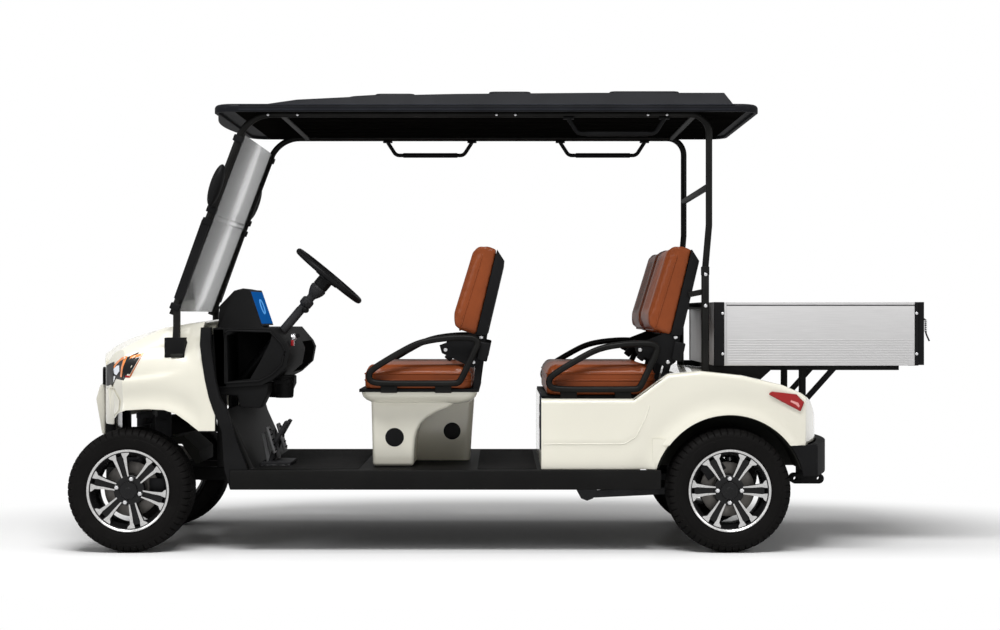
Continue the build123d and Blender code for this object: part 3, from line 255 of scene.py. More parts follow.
SLOTS = {part["node"]: part["material_slot"] for part in frame["record"]["subparts"]}


# ================================================================ mesh helpers
WELD, COARSE = 1e-6, 1e-5  # how near points have to be to count as one


def placed(name, data):
    """A new object in the scene."""
    obj = bpy.data.objects.new(name, data)
    bpy.context.collection.objects.link(obj)
    return obj


def add_piece(mesh, name, slot, body="chassis", mats=None):
    """Places a mesh as a piece that rides on a body."""
    obj = placed(name, mesh)
    for mat in mats or [slot]:
        mesh.materials.append(MAT[mat])
    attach(obj, body)
    return obj


def smooth(mesh, angle):
    """Smooth shading, with edges sharper than the angle kept crisp."""
    mesh.polygons.foreach_set("use_smooth", [True] * len(mesh.polygons))
    mesh.set_sharp_from_angle(angle=math.radians(angle))


def finished(work, name):
    """A bmesh as a new mesh."""
    mesh = bpy.data.meshes.new(name)
    work.to_mesh(mesh)
    work.free()
    return mesh


def edit(mesh, change):
    """Runs a change over a mesh as a bmesh."""
    work = bmesh.new()
    work.from_mesh(mesh)
    change(work)
    work.to_mesh(mesh)
    work.free()


def mesh_from(name, verts, faces):
    """A mesh from points and faces, with outward normals."""
    mesh = bpy.data.meshes.new(name)
    mesh.from_pydata([tuple(v) for v in verts], [], faces)
    edit(mesh, lambda work: bmesh.ops.recalc_face_normals(work, faces=work.faces))
    return mesh


def faceted(name, shape, slot, body="chassis"):
    """A flat-shaded piece from its points and faces."""
    return add_piece(mesh_from(name, *shape), name, slot, body)


def piece(name, shape, slot, angle=30, body="chassis", welded=False):
    """A smooth-shaded piece from its points and faces."""
    obj = faceted(name, shape, slot, body)
    if welded:
        edit(obj.data, lambda work: bmesh.ops.remove_doubles(work, verts=work.verts, dist=WELD))
    smooth(obj.data, angle)
    return obj


def apply_modifiers(obj):
    """Bakes the object's modifiers into its mesh."""
    graph = bpy.context.evaluated_depsgraph_get()
    mesh = bpy.data.meshes.new_from_object(obj.evaluated_get(graph))
    obj.modifiers.clear()
    obj.data = mesh
    return obj


def bevelled(obj, width, segments, angle):
    """Rounds an object's edges that are sharper than an angle."""
    bevel = obj.modifiers.new("edge", "BEVEL")
    bevel.width = width
    bevel.segments = segments
    bevel.limit_method = "ANGLE"
    bevel.angle_limit = math.radians(angle)
    return apply_modifiers(obj)


def softened(node, width, slot=None, body="chassis"):
    """The CAD node's shape with its hard edges rounded, standing for the node."""
    work = bmesh.new()
    work.from_mesh(NODES[node].data)
    bmesh.ops.remove_doubles(work, verts=work.verts, dist=COARSE)
    bmesh.ops.dissolve_limit(work, angle_limit=math.radians(1.0), verts=work.verts, edges=work.edges)
    name = node + "_soft"
    obj = bevelled(add_piece(finished(work, name), name, slot or SLOTS[node], body), width, 2, 40)
    smooth(obj.data, 50)
    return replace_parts(obj, node)


def grid_faces(rows, count, wrap_rows=False, wrap_row=True):
    """Four-sided faces between rows of points; either way round may close on itself."""
    faces = []
    for row in range(rows if wrap_rows else rows - 1):
        here, there = row * count, (row + 1) % rows * count
        for k in range(count if wrap_row else count - 1):
            after = (k + 1) % count
            faces.append((here + k, here + after, there + after, there + k))
    return faces


def closed_faces(rows, count):
    """Faces of a body through rings of points, with both ends closed."""
    return grid_faces(rows, count) + [tuple(range(count)), tuple(range((rows - 1) * count, rows * count))]


def circle(sides):
    """Cosine and sine of even steps round a circle."""
    angles = [2 * math.pi * step / sides for step in range(sides)]
    return [(math.cos(angle), math.sin(angle)) for angle in angles]


def lathe(profile, sides, axis_point, flip=1.0):
    """Points and faces of a ring about Y; profile rows are (radius, y)."""
    cx, cy, cz = axis_point
    verts = [(cx + radius * c, cy + flip * y, cz + radius * s)
             for c, s in circle(sides) for radius, y in profile]
    return verts, grid_faces(sides, len(profile), wrap_rows=True)


def turned(name, profile, place, slot, sides, angle):
    """A solid of revolution; place gives a point from a radius, a reach, a cosine and a sine."""
    verts = [place(radius, reach, c, s) for c, s in circle(sides) for radius, reach in profile]
    return piece(name, (verts, grid_faces(sides, len(profile), True, False)), slot, angle, welded=True)


def prism(outline, y_low, y_high):
    """Points and faces of an outline in side view (x, z) between two y."""
    count = len(outline)
    verts = [(x, y, z) for y in (y_low, y_high) for x, z in outline]
    faces = [tuple(range(count)), tuple(range(2 * count - 1, count - 1, -1))]
    faces += [(k, k + count, (k + 1) % count + count, (k + 1) % count) for k in range(count)]
    return verts, faces


def span(side, near, far):
    """Two distances from the middle plane as low and high y on one side."""
    return sorted((side * near, side * far))


def on_side(place, side):
    """A place on one side, from one whose y is its distance from the middle plane."""
    x, y, z = place
    return Vector((x, side * y, z))


def around(x, y, z, *halves):
    """Low and high corners of a box round its middle."""
    middle = (x, y, z)
    return [m - half for m, half in zip(middle, halves)], [m + half for m, half in zip(middle, halves)]


def pipe(name, points, radius, slot, body="chassis", order=3, sides=12, closed=False):
    """A round bar along a smooth curve, as a mesh."""
    curve = bpy.data.curves.new(name, "CURVE")
    curve.dimensions = "3D"
    curve.bevel_depth = radius
    curve.bevel_resolution = max(1, sides // 4)
    curve.use_fill_caps = True
    spline = curve.splines.new("NURBS")
    spline.points.add(len(points) - 1)
    for point, place in zip(spline.points, points):
        point.co = (*place, 1)
    spline.use_cyclic_u = closed
    spline.use_endpoint_u = not closed
    spline.order_u = order
    spline.resolution_u = 8
    holder = placed(name, curve)
    bpy.context.view_layer.update()
    mesh = bpy.data.meshes.new_from_object(holder.evaluated_get(bpy.context.evaluated_depsgraph_get()))
    bpy.data.objects.remove(holder)
    obj = add_piece(mesh, name, slot, body)
    smooth(mesh, 60)
    return obj


# ================================================================ wheels
TREAD_STEPS = 432
TREAD_DEPTH = 0.006
TREAD_INSET = 0.0001  # keeps the tread inside the CAD tyre
SIPE_EVERY = 8
SIPE_LEAN = 0.02


def tyre_profile():
    """Outline of the tyre, outer bead to inner bead: (radius, y, tread weight)."""
    half = TYRE_HALF_W
    left = [
        (0.1600, -0.086, 0), (0.1660, -0.0935, 0), (0.1740, -0.0975, 0), (0.1765, -0.0960, 0),
        (0.1790, -0.0985, 0), (0.1950, -0.1030, 0), (0.2120, -half + 0.0002, 0), (0.2180, -half, 0),
        (0.2195, -half + 0.0012, 0), (0.2280, -0.1040, 0), (0.2330, -0.1030, 0.5), (0.2400, -0.1000, 1),
        (0.2475, -0.0945, 1), (0.2525, -0.0875, 1), (0.2568, -0.0790, 1), (0.2590, -0.0700, 0.8),
        (0.2598, -0.0620, 0.5), (0.2600, -0.0555, 0), (0.2545, -0.0540, 0), (0.2545, -0.0490, 0),
        (0.2606, -0.0475, 0.25), (0.2612, -0.0320, 0.5), (0.2614, -0.0235, 0), (0.2555, -0.0220, 0),
        (0.2555, -0.0165, 0), (0.2616, -0.0150, 0.2), (0.2620, 0.0, 0.3),
    ]
    return left + [(r, -y, weight) for r, y, weight in reversed(left[:-1])]


def make_tyre(corner):
    """Tyre with rib grooves and fine cross sipes, replacing the plain ring."""
    centre = WHEELS[corner][0]
    profile = tyre_profile()
    verts = []
    for step in range(TREAD_STEPS):
        angle = 2 * math.pi * step / TREAD_STEPS
        depth = 0.0 if step % SIPE_EVERY else TREAD_DEPTH
        for radius, y, weight in profile:
            lean = angle + SIPE_LEAN * y / TYRE_HALF_W
            r = radius - weight * depth - TREAD_INSET
            verts.append((centre.x + r * math.cos(lean), centre.y + y, centre.z + r * math.sin(lean)))
    faces = grid_faces(TREAD_STEPS, len(profile), wrap_rows=True)
    obj = piece(f"tyre_{corner}_tread", (verts, faces), "tyre", 32, "wheel_" + corner)
    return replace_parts(obj, "tyre_" + corner)


RIM_PROFILE = [  # radius, y; -y is the outer side
    (0.1590, -0.0850), (0.1600, -0.0955), (0.1655, -0.0990), (0.1700, -0.1010), (0.1728, -0.1000),
    (0.1728, -0.0975), (0.1690, -0.0950), (0.1640, -0.0925), (0.1625, -0.0850), (0.1600, -0.0700),
    (0.1520, -0.0500), (0.1500, 0.0400), (0.1580, 0.0700), (0.1620, 0.0900), (0.1700, 0.0960),
    (0.1728, 0.0985), (0.1728, 0.1005), (0.1690, 0.1010), (0.1590, 0.0950), (0.1550, 0.0750),
    (0.1460, 0.0500), (0.1440, -0.0400), (0.1500, -0.0700),
]
RIM_LIP = [(0.1640, -0.0985), (0.1700, -0.1022), (0.1732, -0.1012), (0.1732, -0.0985), (0.1640, -0.0940)]
HUB = [(0.0, -0.0800), (0.058, -0.0800), (0.064, -0.0760), (0.066, -0.0500), (0.0, -0.0450)]
CAP = [(0.0, -0.0955), (0.012, -0.0955), (0.014, -0.0940), (0.027, -0.0935), (0.030, -0.0950),
       (0.0345, -0.0945), (0.0370, -0.0920), (0.0378, -0.0760), (0.0, -0.0760)]
CAP_KNURL, KNURL_FROM, KNURL_TEETH = 0.0012, 0.033, 24
DISC = [(0.040, -0.018), (0.064, -0.018), (0.068, -0.0145), (0.113, -0.0140), (0.116, -0.0125),
        (0.116, -0.0060), (0.113, -0.0050), (0.068, -0.0050), (0.060, 0.006), (0.040, 0.006)]
NUT = [(0.0105, 0.078), (0.0105, 0.092), (0.0085, 0.0945), (0.0045, 0.0965), (0.0, 0.0970)]
NUT_COUNT, NUT_CIRCLE_R = 4, 0.0508
SPOKE_LEG = [  # distance from the axle, offset from the pair's middle line
    (0.044, 0.0100), (0.100, 0.0120), (0.136, 0.0150), (0.146, 0.0130), (0.1595, 0.0120), (0.1605, 0.0520),
    (0.1560, 0.0510), (0.1520, 0.0440), (0.1475, 0.0420), (0.1390, 0.0295), (0.100, 0.0215), (0.062, 0.0165),
    (0.044, 0.0140),
]
SPOKE_WEB = [(0.04, -0.0135), (0.147, -0.0190), (0.147, 0.0190), (0.04, 0.0135)]
SPOKE_PAIRS = 6
SPOKE_DEEP = 0.026
WEB_DROP, WEB_EXTRA = 0.009, 0.004  # the web's front below the spokes' face, its back below their back
PHASE = {"front": -15.0, "rear_": 0.0}  # degrees of turn, by the first five letters of the corner
LEG_FACE = [(0.044, 0.078), (0.100, 0.083), (0.1605, 0.0925)]  # distance from the axle, outward reach


def leg_height(radius):
    """Outward reach of a spoke's machined face, its first stretch carried on inwards."""
    (r0, h0), (r1, h1), (r2, h2) = LEG_FACE
    if radius < r1:
        return h0 + (h1 - h0) * (radius - r0) / (r1 - r0)
    return h1 + (h2 - h1) * (radius - r1) / (r2 - r1)


def make_rim(corner):
    """Split-spoke alloy rim: black barrel, machined legs and lip, cap and nuts."""
    centre, side = WHEELS[corner]
    work = bmesh.new()

    def put(verts, faces, mat_index):
        made = [work.verts.new(v) for v in verts]
        for face in faces:
            work.faces.new([made[k] for k in face]).material_index = mat_index

    def spoke_points(outline, turn, drop):
        ca, sa = math.cos(turn), math.sin(turn)
        return [(centre.x + (r * ca - w * sa), centre.y + side * (leg_height(r) - drop),
                 centre.z + (r * sa + w * ca)) for r, w in outline]

    put(*lathe(RIM_PROFILE, 128, centre, -side), 1)
    put(*lathe(RIM_LIP, 128, centre, -side), 0)
    ends = [tuple(range(len(SPOKE_LEG)))]
    for pair in range(SPOKE_PAIRS):
        turn = math.radians(pair * 360 / SPOKE_PAIRS + PHASE[corner[:5]])
        for outline in ([(r, -w) for r, w in reversed(SPOKE_LEG)], SPOKE_LEG):
            top, low = (spoke_points(outline, turn, drop) for drop in (0.0, SPOKE_DEEP))
            put(top, ends, 0)
            put(top + low, grid_faces(2, len(outline)), 1)
            put(low, ends, 1)
        web = spoke_points(SPOKE_WEB, turn, WEB_DROP) + spoke_points(SPOKE_WEB, turn, SPOKE_DEEP + WEB_EXTRA)
        put(web, [(0, 1, 2, 3), (7, 6, 5, 4)] + grid_faces(2, 4), 1)
    bmesh.ops.remove_doubles(work, verts=work.verts, dist=WELD)
    bmesh.ops.recalc_face_normals(work, faces=work.faces)
    name = f"rim_{corner}_alloy"
    obj = add_piece(finished(work, name), name, "rim_alloy", "wheel_" + corner, ["rim_alloy", "rim_black"])
    smooth(obj.data, 30)
    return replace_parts(obj, "rim_" + corner)


def add_ring(name, corner, profile, slot, knurl=0.0):
    """A solid of revolution on one wheel; knurl waves its rim."""
    centre, side = WHEELS[corner]
    verts, faces = lathe(profile, 96, centre, -side)
    if knurl:
        for k, (x, y, z) in enumerate(verts):
            dx, dz = x - centre.x, z - centre.z
            radius = math.hypot(dx, dz)
            if radius > KNURL_FROM:
                grow = 1 + knurl / radius * math.cos(KNURL_TEETH * math.atan2(dz, dx))
                dx, dz = dx * grow, dz * grow
            verts[k] = (centre.x + dx, y, centre.z + dz)
    return piece(f"{name}_{corner}", (verts, faces), slot, 35, "wheel_" + corner, welded=True)


def make_nuts(corner):
    """Hexagonal lug nuts with domed ends."""
    centre, side = WHEELS[corner]
    verts, faces = [], []
    for nut in range(NUT_COUNT):
        turn = math.radians(nut * 360 / NUT_COUNT + PHASE[corner[:5]])
        cx, cz = centre.x + NUT_CIRCLE_R * math.cos(turn), centre.z + NUT_CIRCLE_R * math.sin(turn)
        faces += [[len(verts) + k for k in face] for face in grid_faces(len(NUT), 6)]
        verts += [(cx + radius * c, centre.y + side * reach, cz + radius * s)
                  for radius, reach in NUT for c, s in circle(6)]
    return piece("nuts_" + corner, (verts, faces), "steel_bright", 25, "wheel_" + corner)


def make_wheels():
    """Every wheel's tyre, rim, hub, cap, nuts and brake disc."""
    for corner in WHEELS:
        make_tyre(corner)
        make_rim(corner)
        add_ring("hub", corner, HUB, "rim_black")
        add_ring("cap", corner, CAP, "rim_black", CAP_KNURL)
        make_nuts(corner)
        add_ring("disc", corner, DISC, "cast_grey")


# ================================================================ shaping helpers
RAY_START = 0.8  # outside the cart on either side


def smoothstep(value, low, high):
    """0 below low, 1 above high, smooth between."""
    t = min(1.0, max(0.0, (value - low) / (high - low)))
    return t * t * (3 - 2 * t)


def bell(distance, width):
    """A smooth bump of height 1."""
    return math.exp(-((distance / width) ** 2))


def table_value(table, x):
    """A table's value at x, by straight lines between its rows."""
    if x <= table[0][0]:
        return table[0][1]
    for (x0, v0), (x1, v1) in zip(table, table[1:]):
        if x <= x1:
            return v0 + (v1 - v0) * (x - x0) / (x1 - x0)
    return table[-1][1]


def line_distance(x, z, points):
    """Distance in side view to a chain of points, and the height above it."""
    best, above = 9.0, 0.0
    for (x0, z0), (x1, z1) in zip(points, points[1:]):
        dx, dz = x1 - x0, z1 - z0
        t = min(1.0, max(0.0, ((x - x0) * dx + (z - z0) * dz) / (dx * dx + dz * dz)))
        gap = math.hypot(x - x0 - t * dx, z - z0 - t * dz)
        if gap < best:
            best, above = gap, z - z0 - t * dz
    return best, above


def cut_across(work, axis, places, reach):
    """Cuts a bmesh along planes square to an axis."""
    normal = Vector((axis == 0, axis == 1, axis == 2))
    for place in places:
        geom = work.verts[:] + work.edges[:] + work.faces[:]
        bmesh.ops.bisect_plane(work, geom=geom, dist=reach, plane_co=normal * place, plane_no=normal)


def shaped(obj, cuts, move):
    """Cuts an object finely and moves each point by a rule; cuts are (axis, low, high, step)."""
    def dice(work):
        for axis, low, high, step in cuts:
            cut_across(work, axis, [low + k * step for k in range(int((high - low) / step) + 1)], COARSE)

    edit(obj.data, dice)
    for vert in obj.data.vertices:
        vert.co = move(*vert.co)
    smooth(obj.data, 40)
    return obj


def surface_of(*objs):
    """A search tree over the faces of some objects."""
    verts, polys = [], []
    for obj in objs:
        base = len(verts)
        verts += [vert.co.copy() for vert in obj.data.vertices]
        polys += [[base + k for k in poly.vertices] for poly in obj.data.polygons]
    return BVHTree.FromPolygons(verts, polys)


def flank_y(tree, side, x, z):
    """The y at which a ray from one side meets a surface, or None."""
    hit = tree.ray_cast(Vector((x, side * RAY_START, z)), Vector((0, -side, 0)))[0]
    return hit and hit.y


def stick(name, tree, outline, side, thick, slot):
    """A thin plate cut to a side-view outline and laid on a surface that faces sideways."""
    step, sink, missed = 0.008, 0.003, 0.5  # cell, depth under the surface, y where a ray meets nothing
    work = bmesh.new()
    work.faces.new([work.verts.new((x, 0, z)) for x, z in outline])
    for axis, values in zip((0, 2), zip(*outline)):
        low, high = min(values), max(values)
        cut_across(work, axis, [low + k * step for k in range(1, int((high - low) / step) + 1)], WELD)
    bmesh.ops.triangulate(work, faces=work.faces)
    work.verts.ensure_lookup_table()
    count = len(work.verts)
    top, under = [], []
    for vert in work.verts:
        x, _, z = vert.co
        y = flank_y(tree, side, x, z)
        y = side * missed if y is None else y
        top.append((x, y + side * thick, z))
        under.append((x, y - side * sink, z))
    faces = [[v.index for v in face.verts] for face in work.faces]
    faces += [[k + count for k in reversed(face)] for face in faces]
    rim = [[v.index for v in edge.verts] for edge in work.edges if edge.is_boundary]
    faces += [(a, b, b + count, a + count) for a, b in rim]
    work.free()
    return piece(name, (top + under, faces), slot, 40)


def stick_both(parts, tree):
    """Plates laid on both flanks; parts are (name, outline, thickness, slot)."""
    for name, outline, thick, slot in parts:
        for tag, side in SIDES:
            stick(f"{name}_{tag}", tree, outline, side, thick, slot)


def bead(name, tree, points, side, radius):
    """A low round bead along a side-view line on a surface that faces sideways."""
    places = []
    for (x0, z0), (x1, z1) in zip(points, points[1:]):
        pieces = max(1, round(math.hypot(x1 - x0, z1 - z0) / 0.02))
        for k in range(pieces):
            x, z = x0 + (x1 - x0) * k / pieces, z0 + (z1 - z0) * k / pieces
            y = flank_y(tree, side, x, z)
            if y is not None:
                places.append(Vector((x, y - side * radius * 0.45, z)))
    return pipe(name, places, radius, "body_cream", order=4)


def block(name, low, high, slot, edge=0.003, body="chassis", turn=None):
    """A bevelled block between two corners, turned about its middle by (axis, degrees)."""
    middle = (Vector(low) + Vector(high)) / 2
    size = Vector(high) - Vector(low)
    work = bmesh.new()
    bmesh.ops.create_cube(work, size=1.0)
    for vert in work.verts:
        vert.co = Vector((vert.co.x * size.x, vert.co.y * size.y, vert.co.z * size.z))
    reach = min(edge, 0.45 * min(size))
    bmesh.ops.bevel(work, geom=work.edges[:], offset=reach, segments=3, profile=0.5, affect="EDGES")
    if turn:
        spin = Matrix.Rotation(math.radians(turn[1]), 3, turn[0])
        bmesh.ops.transform(work, matrix=spin.to_4x4(), verts=work.verts)
    bmesh.ops.translate(work, vec=middle, verts=work.verts)
    obj = add_piece(finished(work, name), name, slot, body)
    smooth(obj.data, 40)
    return obj


DOME = [(1.0, -0.6), (1.0, 0.35), (0.93, 0.62), (0.75, 0.84), (0.45, 0.96), (0.12, 1.0)]


def dome(name, centre, axis, radius, height, slot, sides=24):
    """A low round head, such as a bolt's or a button's."""
    axis = Vector(axis).normalized()
    across = axis.orthogonal().normalized()
    third = axis.cross(across)
    verts = [Vector(centre) + (across * c + third * s) * radius * share + axis * height * up
             for share, up in DOME for c, s in circle(sides)]
    return piece(name, (verts, closed_faces(len(DOME), sides)), slot, 50)


def bolts(name, places, side, radius):
    """A row of like bolt heads that face one side, in one piece; y is taken from the middle plane."""
    join([dome(name, on_side(place, side), (0, side, 0), radius, radius * 0.6, "steel_bright", 12)
          for place in places])


def join(parts):
    """Several objects of one body and material as one."""
    keep = parts[0]
    work = bmesh.new()
    for part in parts:
        work.from_mesh(part.data)
    work.to_mesh(keep.data)
    work.free()
    smooth(keep.data, 45)
    for part in parts[1:]:
        bpy.data.objects.remove(part)
    return keep


def rounded(a0, a1, b0, b1, radius, steps=8):
    """Points (a, b) round a rectangle with rounded corners."""
    corners = [(a1 - radius, b1 - radius), (a0 + radius, b1 - radius),
               (a0 + radius, b0 + radius), (a1 - radius, b0 + radius)]
    points = []
    for quarter, (a, b) in enumerate(corners):
        for k in range(steps + 1):
            angle = math.radians(90 * quarter + 90 * k / steps)
            points.append((a + radius * math.cos(angle), b + radius * math.sin(angle)))
    return points


def stack(name, levels, slot):
    """A closed body through rounded rectangles; levels are (z, x0, x1, half width, corner radius)."""
    rings = [[(x, y, z) for x, y in rounded(x0, x1, -half, half, radius)]
             for z, x0, x1, half, radius in levels]
    return piece(name, (sum(rings, []), closed_faces(len(rings), len(rings[0]))), slot, 35)


def ring_tube(name, points, radius, slot, sides=8):
    """A closed round bead through points."""
    verts = []
    count = len(points)
    for k, point in enumerate(points):
        ahead = (points[(k + 1) % count] - points[k - 1]).normalized()
        side = ahead.cross(Vector((0.0, 0.0, 1.0)))
        side = side.normalized() if side.length > 0.1 else ahead.cross(Vector((1.0, 0.0, 0.0))).normalized()
        up = side.cross(ahead)
        verts += [point + (side * c + up * s) * radius for c, s in circle(sides)]
    return piece(name, (verts, grid_faces(count, sides, wrap_rows=True)), slot, 60)


def evened(points, step):
    """A closed loop's points at even steps."""
    out = []
    for a, b in zip(points, points[1:] + points[:1]):
        pieces = max(1, round((b - a).length / step))
        out += [a + (b - a) * k / pieces for k in range(pieces)]
    return out


# ================================================================ carried-over nodes
KEPT = {  # body: its nodes that keep their CAD shape, with the width of their rounded edges
    "chassis": {
        "ladder_frame": 0.003, "rear_suspension": 0.002, "rear_axle": 0.003, "front_suspension": 0.002,
        "cowl_trim": 0.004, "pedals": 0.003, "tow_bracket": 0.002, "rear_bumper": 0.014,
        "cargo_posts": 0.0015, "cargo_supports": 0.002, "battery_pack": 0.008, "grille": 0.004,
        "wheel_liners": 0.002, "floor_deck": 0.004, "dashboard": 0.012, "rear_posts": 0.002,
        "canopy_frame": 0.002, "grab_handles": 0.002, "mirrors": 0.002, "nose_panel": 0.006,
        "seat_frame_front": 0.004, "seat_frame_rear": 0.004, "cargo_box": 0.002, "windshield": 0.001,
    },
    "steering_wheel": {"steering_wheel": 0.002},
    "steering_rack": {"tie_rods": 0.001},
    "knuckle_left": {"knuckle_left": 0.002},
    "knuckle_right": {"knuckle_right": 0.002},
}


def dress_kept_nodes():
    """Rounds the edges of the nodes that keep their CAD shape."""
    for body, nodes in KEPT.items():
        for node, edge in nodes.items():
            softened(node, edge, body=body)


# ================================================================ painted bodywork
COWL_ARCH = [(-1.636, 0.56), (-1.612, 0.585), (-1.57, 0.601), (-1.48, 0.606), (-1.41, 0.602),
             (-1.36, 0.585), (-1.315, 0.553), (-1.268, 0.514)]
COWL_CREASE = [(-1.60, 0.730), (-1.52, 0.736), (-1.425, 0.748), (-1.33, 0.764)]
COWL_CUTS = [(0, -1.66, -1.26, 0.012), (2, 0.515, 0.93, 0.011)]
LAMP_TOP = [(-1.76, 0.722), (-1.70, 0.738), (-1.673, 0.782), (-1.638, 0.822), (-1.598, 0.834),
            (-1.496, 0.851), (-1.40, 0.88)]
HOOD_SHARE = [(-1.70, 0.15), (-1.676, 0.18), (-1.655, 0.26), (-1.623, 0.36), (-1.579, 0.56),
              (-1.5175, 0.77), (-1.44, 1.0)]
LAMP_CHEVRON = [(-1.644, 0.778), (-1.631, 0.797), (-1.600, 0.821), (-1.570, 0.829), (-1.586, 0.782),
                (-1.592, 0.738), (-1.602, 0.741), (-1.597, 0.782), (-1.586, 0.815), (-1.605, 0.807),
                (-1.626, 0.789), (-1.635, 0.775)]
LAMP_BAR = [(-1.562, 0.8165), (-1.559, 0.8275), (-1.502, 0.8435), (-1.509, 0.827), (-1.536, 0.8225)]
LAMP_EDGE = [(-1.5035, 0.842), (-1.555, 0.7365), (-1.562, 0.7365), (-1.513, 0.829)]
LAMP_MARKER = [(-1.575, 0.747), (-1.556, 0.745), (-1.560, 0.7375), (-1.577, 0.739)]
LAMP_BEAM = [(-1.640, 0.772), (-1.622, 0.786), (-1.608, 0.788), (-1.606, 0.764), (-1.622, 0.746),
             (-1.638, 0.753)]
LAMP_CHROME = [(-1.648, 0.744), (-1.628, 0.741), (-1.634, 0.722), (-1.645, 0.706)]
LAMP_NOSE = [(-1.722, 0.760), (-1.694, 0.780), (-1.655, 0.797), (-1.640, 0.802), (-1.640, 0.716),
             (-1.655, 0.700), (-1.692, 0.698), (-1.722, 0.706)]
NOSE_CHEEK = [(-1.652, 0.705), (-1.604, 0.640), (-1.606, 0.600), (-1.646, 0.566), (-1.656, 0.566),
              (-1.668, 0.70)]
LAMP_STEP = [(-1.580, 0.812), (-1.520, 0.822), (-1.556, 0.752), (-1.586, 0.756)]
FRONT_LAMP_PARTS = [  # name, outline, thickness, slot
    ("lamp_chevron", LAMP_CHEVRON, 0.0022, "lamp_orange"), ("lamp_bar", LAMP_BAR, 0.0022, "lamp_orange"),
    ("lamp_edge", LAMP_EDGE, 0.0018, "lamp_amber"), ("lamp_marker", LAMP_MARKER, 0.0022, "lamp_red"),
    ("lamp_beam", LAMP_BEAM, 0.003, "lamp_white"), ("lamp_chrome", LAMP_CHROME, 0.0025, "lamp_clear"),
    ("lamp_nose", LAMP_NOSE, 0.004, "lamp_black"), ("nose_cheek", NOSE_CHEEK, 0.006, "body_cream"),
    ("lamp_step", LAMP_STEP, 0.0014, "rim_black"),
]
BOOT = [(-1.402, 0.832), (-1.4045, 0.862), (-1.393, 0.896), (-1.384, 0.905), (-1.336, 0.905),
        (-1.326, 0.895), (-1.319, 0.884), (-1.329, 0.832), (-1.337, 0.823), (-1.392, 0.820)]
BOOT_CENTRE, BOOT_WIDTH = (-1.362, 0.864), 0.84
BOOT_ROWS = [(1.0, -0.004), (1.0, 0.004), (0.93, 0.010), (0.80, 0.0125)]  # share of the outline, lift
POST_FOOT_X = (-1.3845, -1.3585)
POST_FOOT_ROWS = [(1.045, 0.517, 0.543), (0.96, 0.518, 0.548), (0.872, 0.524, 0.572)]  # z, inner y, outer y
# Black plate inside the cowl behind the gap to the trim: painted shade that stands in for the dark inside the gap
COWL_SEAM_SHADE = [(-1.262, 0.508), (-1.196, 0.508), (-1.205, 0.60), (-1.225, 0.70), (-1.262, 0.70)]


def cowl_point(x, y, z):
    """Where a point of the cowl goes: domed hood, flank leaning in, flared arch and creases."""
    base = table_value(LAMP_TOP, x)
    if z > base:
        share = 1 - (1 - table_value(HOOD_SHARE, x)) * smoothstep(abs(y), 0.16, 0.50)
        z = base + (z - base) * share
    flank = smoothstep(abs(y), 0.50, 0.585)
    lean = smoothstep(abs(y), 0.34, 0.604) * smoothstep(z, 0.75, 0.955)
    behind = smoothstep(-x, 1.215, 1.33)
    near = line_distance(x, z, COWL_ARCH)[0]
    out = 0.006 * bell(z - 0.69, 0.07) + (0.012 * bell(near, 0.024) - 0.008 * bell(near - 0.055, 0.035))
    near, above = line_distance(x, z, COWL_CREASE)
    out -= 0.009 * math.tanh(above / 0.007) * bell(near, 0.06) * smoothstep(-x, 1.30, 1.45)
    shift = out * flank * behind - 0.092 * lean * (0.25 + 0.75 * behind)
    return Vector((x, y + math.copysign(1, y) * shift, z))


def make_cowl():
    """Cowl and headlamps, with the lamps' parts laid on them and what stands at the pillars' feet."""
    cowl = shaped(softened("front_cowl", 0.004), COWL_CUTS, cowl_point)
    lamps = shaped(softened("headlamps", 0.005, "lamp_black"), COWL_CUTS, cowl_point)
    tree = surface_of(cowl, lamps)
    stick_both(FRONT_LAMP_PARTS, tree)
    for tag, side in SIDES:
        make_boot("pillar_boot_" + tag, tree, side)
        make_post_foot("post_foot_" + tag, side)
        # black plate behind the seam: painted shade for the gap, not a part of the cart
        piece("cowl_seam_shade_" + tag, prism(COWL_SEAM_SHADE, *span(side, 0.55, 0.597)), "trim_black")


def make_boot(name, tree, side):
    """Moulded pad round the foot of a front pillar, standing on the cowl's flank."""
    cx, cz = BOOT_CENTRE
    verts = []
    for share, lift in BOOT_ROWS:
        for x, z in BOOT:
            px, pz = cx + (x - cx) * share * BOOT_WIDTH, cz + (z - cz) * share
            verts.append((px, flank_y(tree, side, px, pz) + side * lift, pz))
    piece(name, (verts, closed_faces(len(BOOT_ROWS), len(BOOT))), "liner_black")


def make_post_foot(name, side):
    """Foot of a front pillar, spreading outwards as it goes down behind the boot."""
    front, rear = POST_FOOT_X
    verts = [(x, side * y, z) for z, inner, outer in POST_FOOT_ROWS
             for x, y in ((front, inner), (rear, inner), (rear, outer), (front, outer))]
    piece(name, (verts, closed_faces(len(POST_FOOT_ROWS), 4)), "tube_black")


BODY_CREASE = [(0.16, 0.458), (0.5187, 0.458), (0.5669, 0.489), (0.6103, 0.576), (0.628, 0.64)]
BODY_CUTS = [(0, 0.18, 1.32, 0.014), (2, 0.36, 0.74, 0.012)]
ARCH_CENTRE = (0.960, 0.265)
ARCH_R = 0.315
REAR_SKIRT = [(0.636, 0.352), (0.652, 0.352), (0.658, 0.372), (0.670, 0.400), (0.690, 0.434),
              (0.712, 0.465), (0.712, 0.480), (0.636, 0.480)]
SKIRT_Y, SKIRT_HALF = 0.5835, 0.0025
TAIL_LENS = [(1.126, 0.668), (1.137, 0.676), (1.238, 0.663), (1.267, 0.632), (1.254, 0.602), (1.178, 0.641)]
# Pink plate laid on each tail lens: a painted highlight standing in for a reflection
TAIL_PAINTED_GLINT = [(1.215, 0.643), (1.246, 0.632), (1.252, 0.618), (1.247, 0.612), (1.236, 0.624), (1.213, 0.636)]
TAIL_LAMP_PARTS = [("tail_lens", TAIL_LENS, 0.003, "lamp_ruby"),
                   ("tail_painted_glint", TAIL_PAINTED_GLINT, 0.0045, "painted_highlight_pink")]


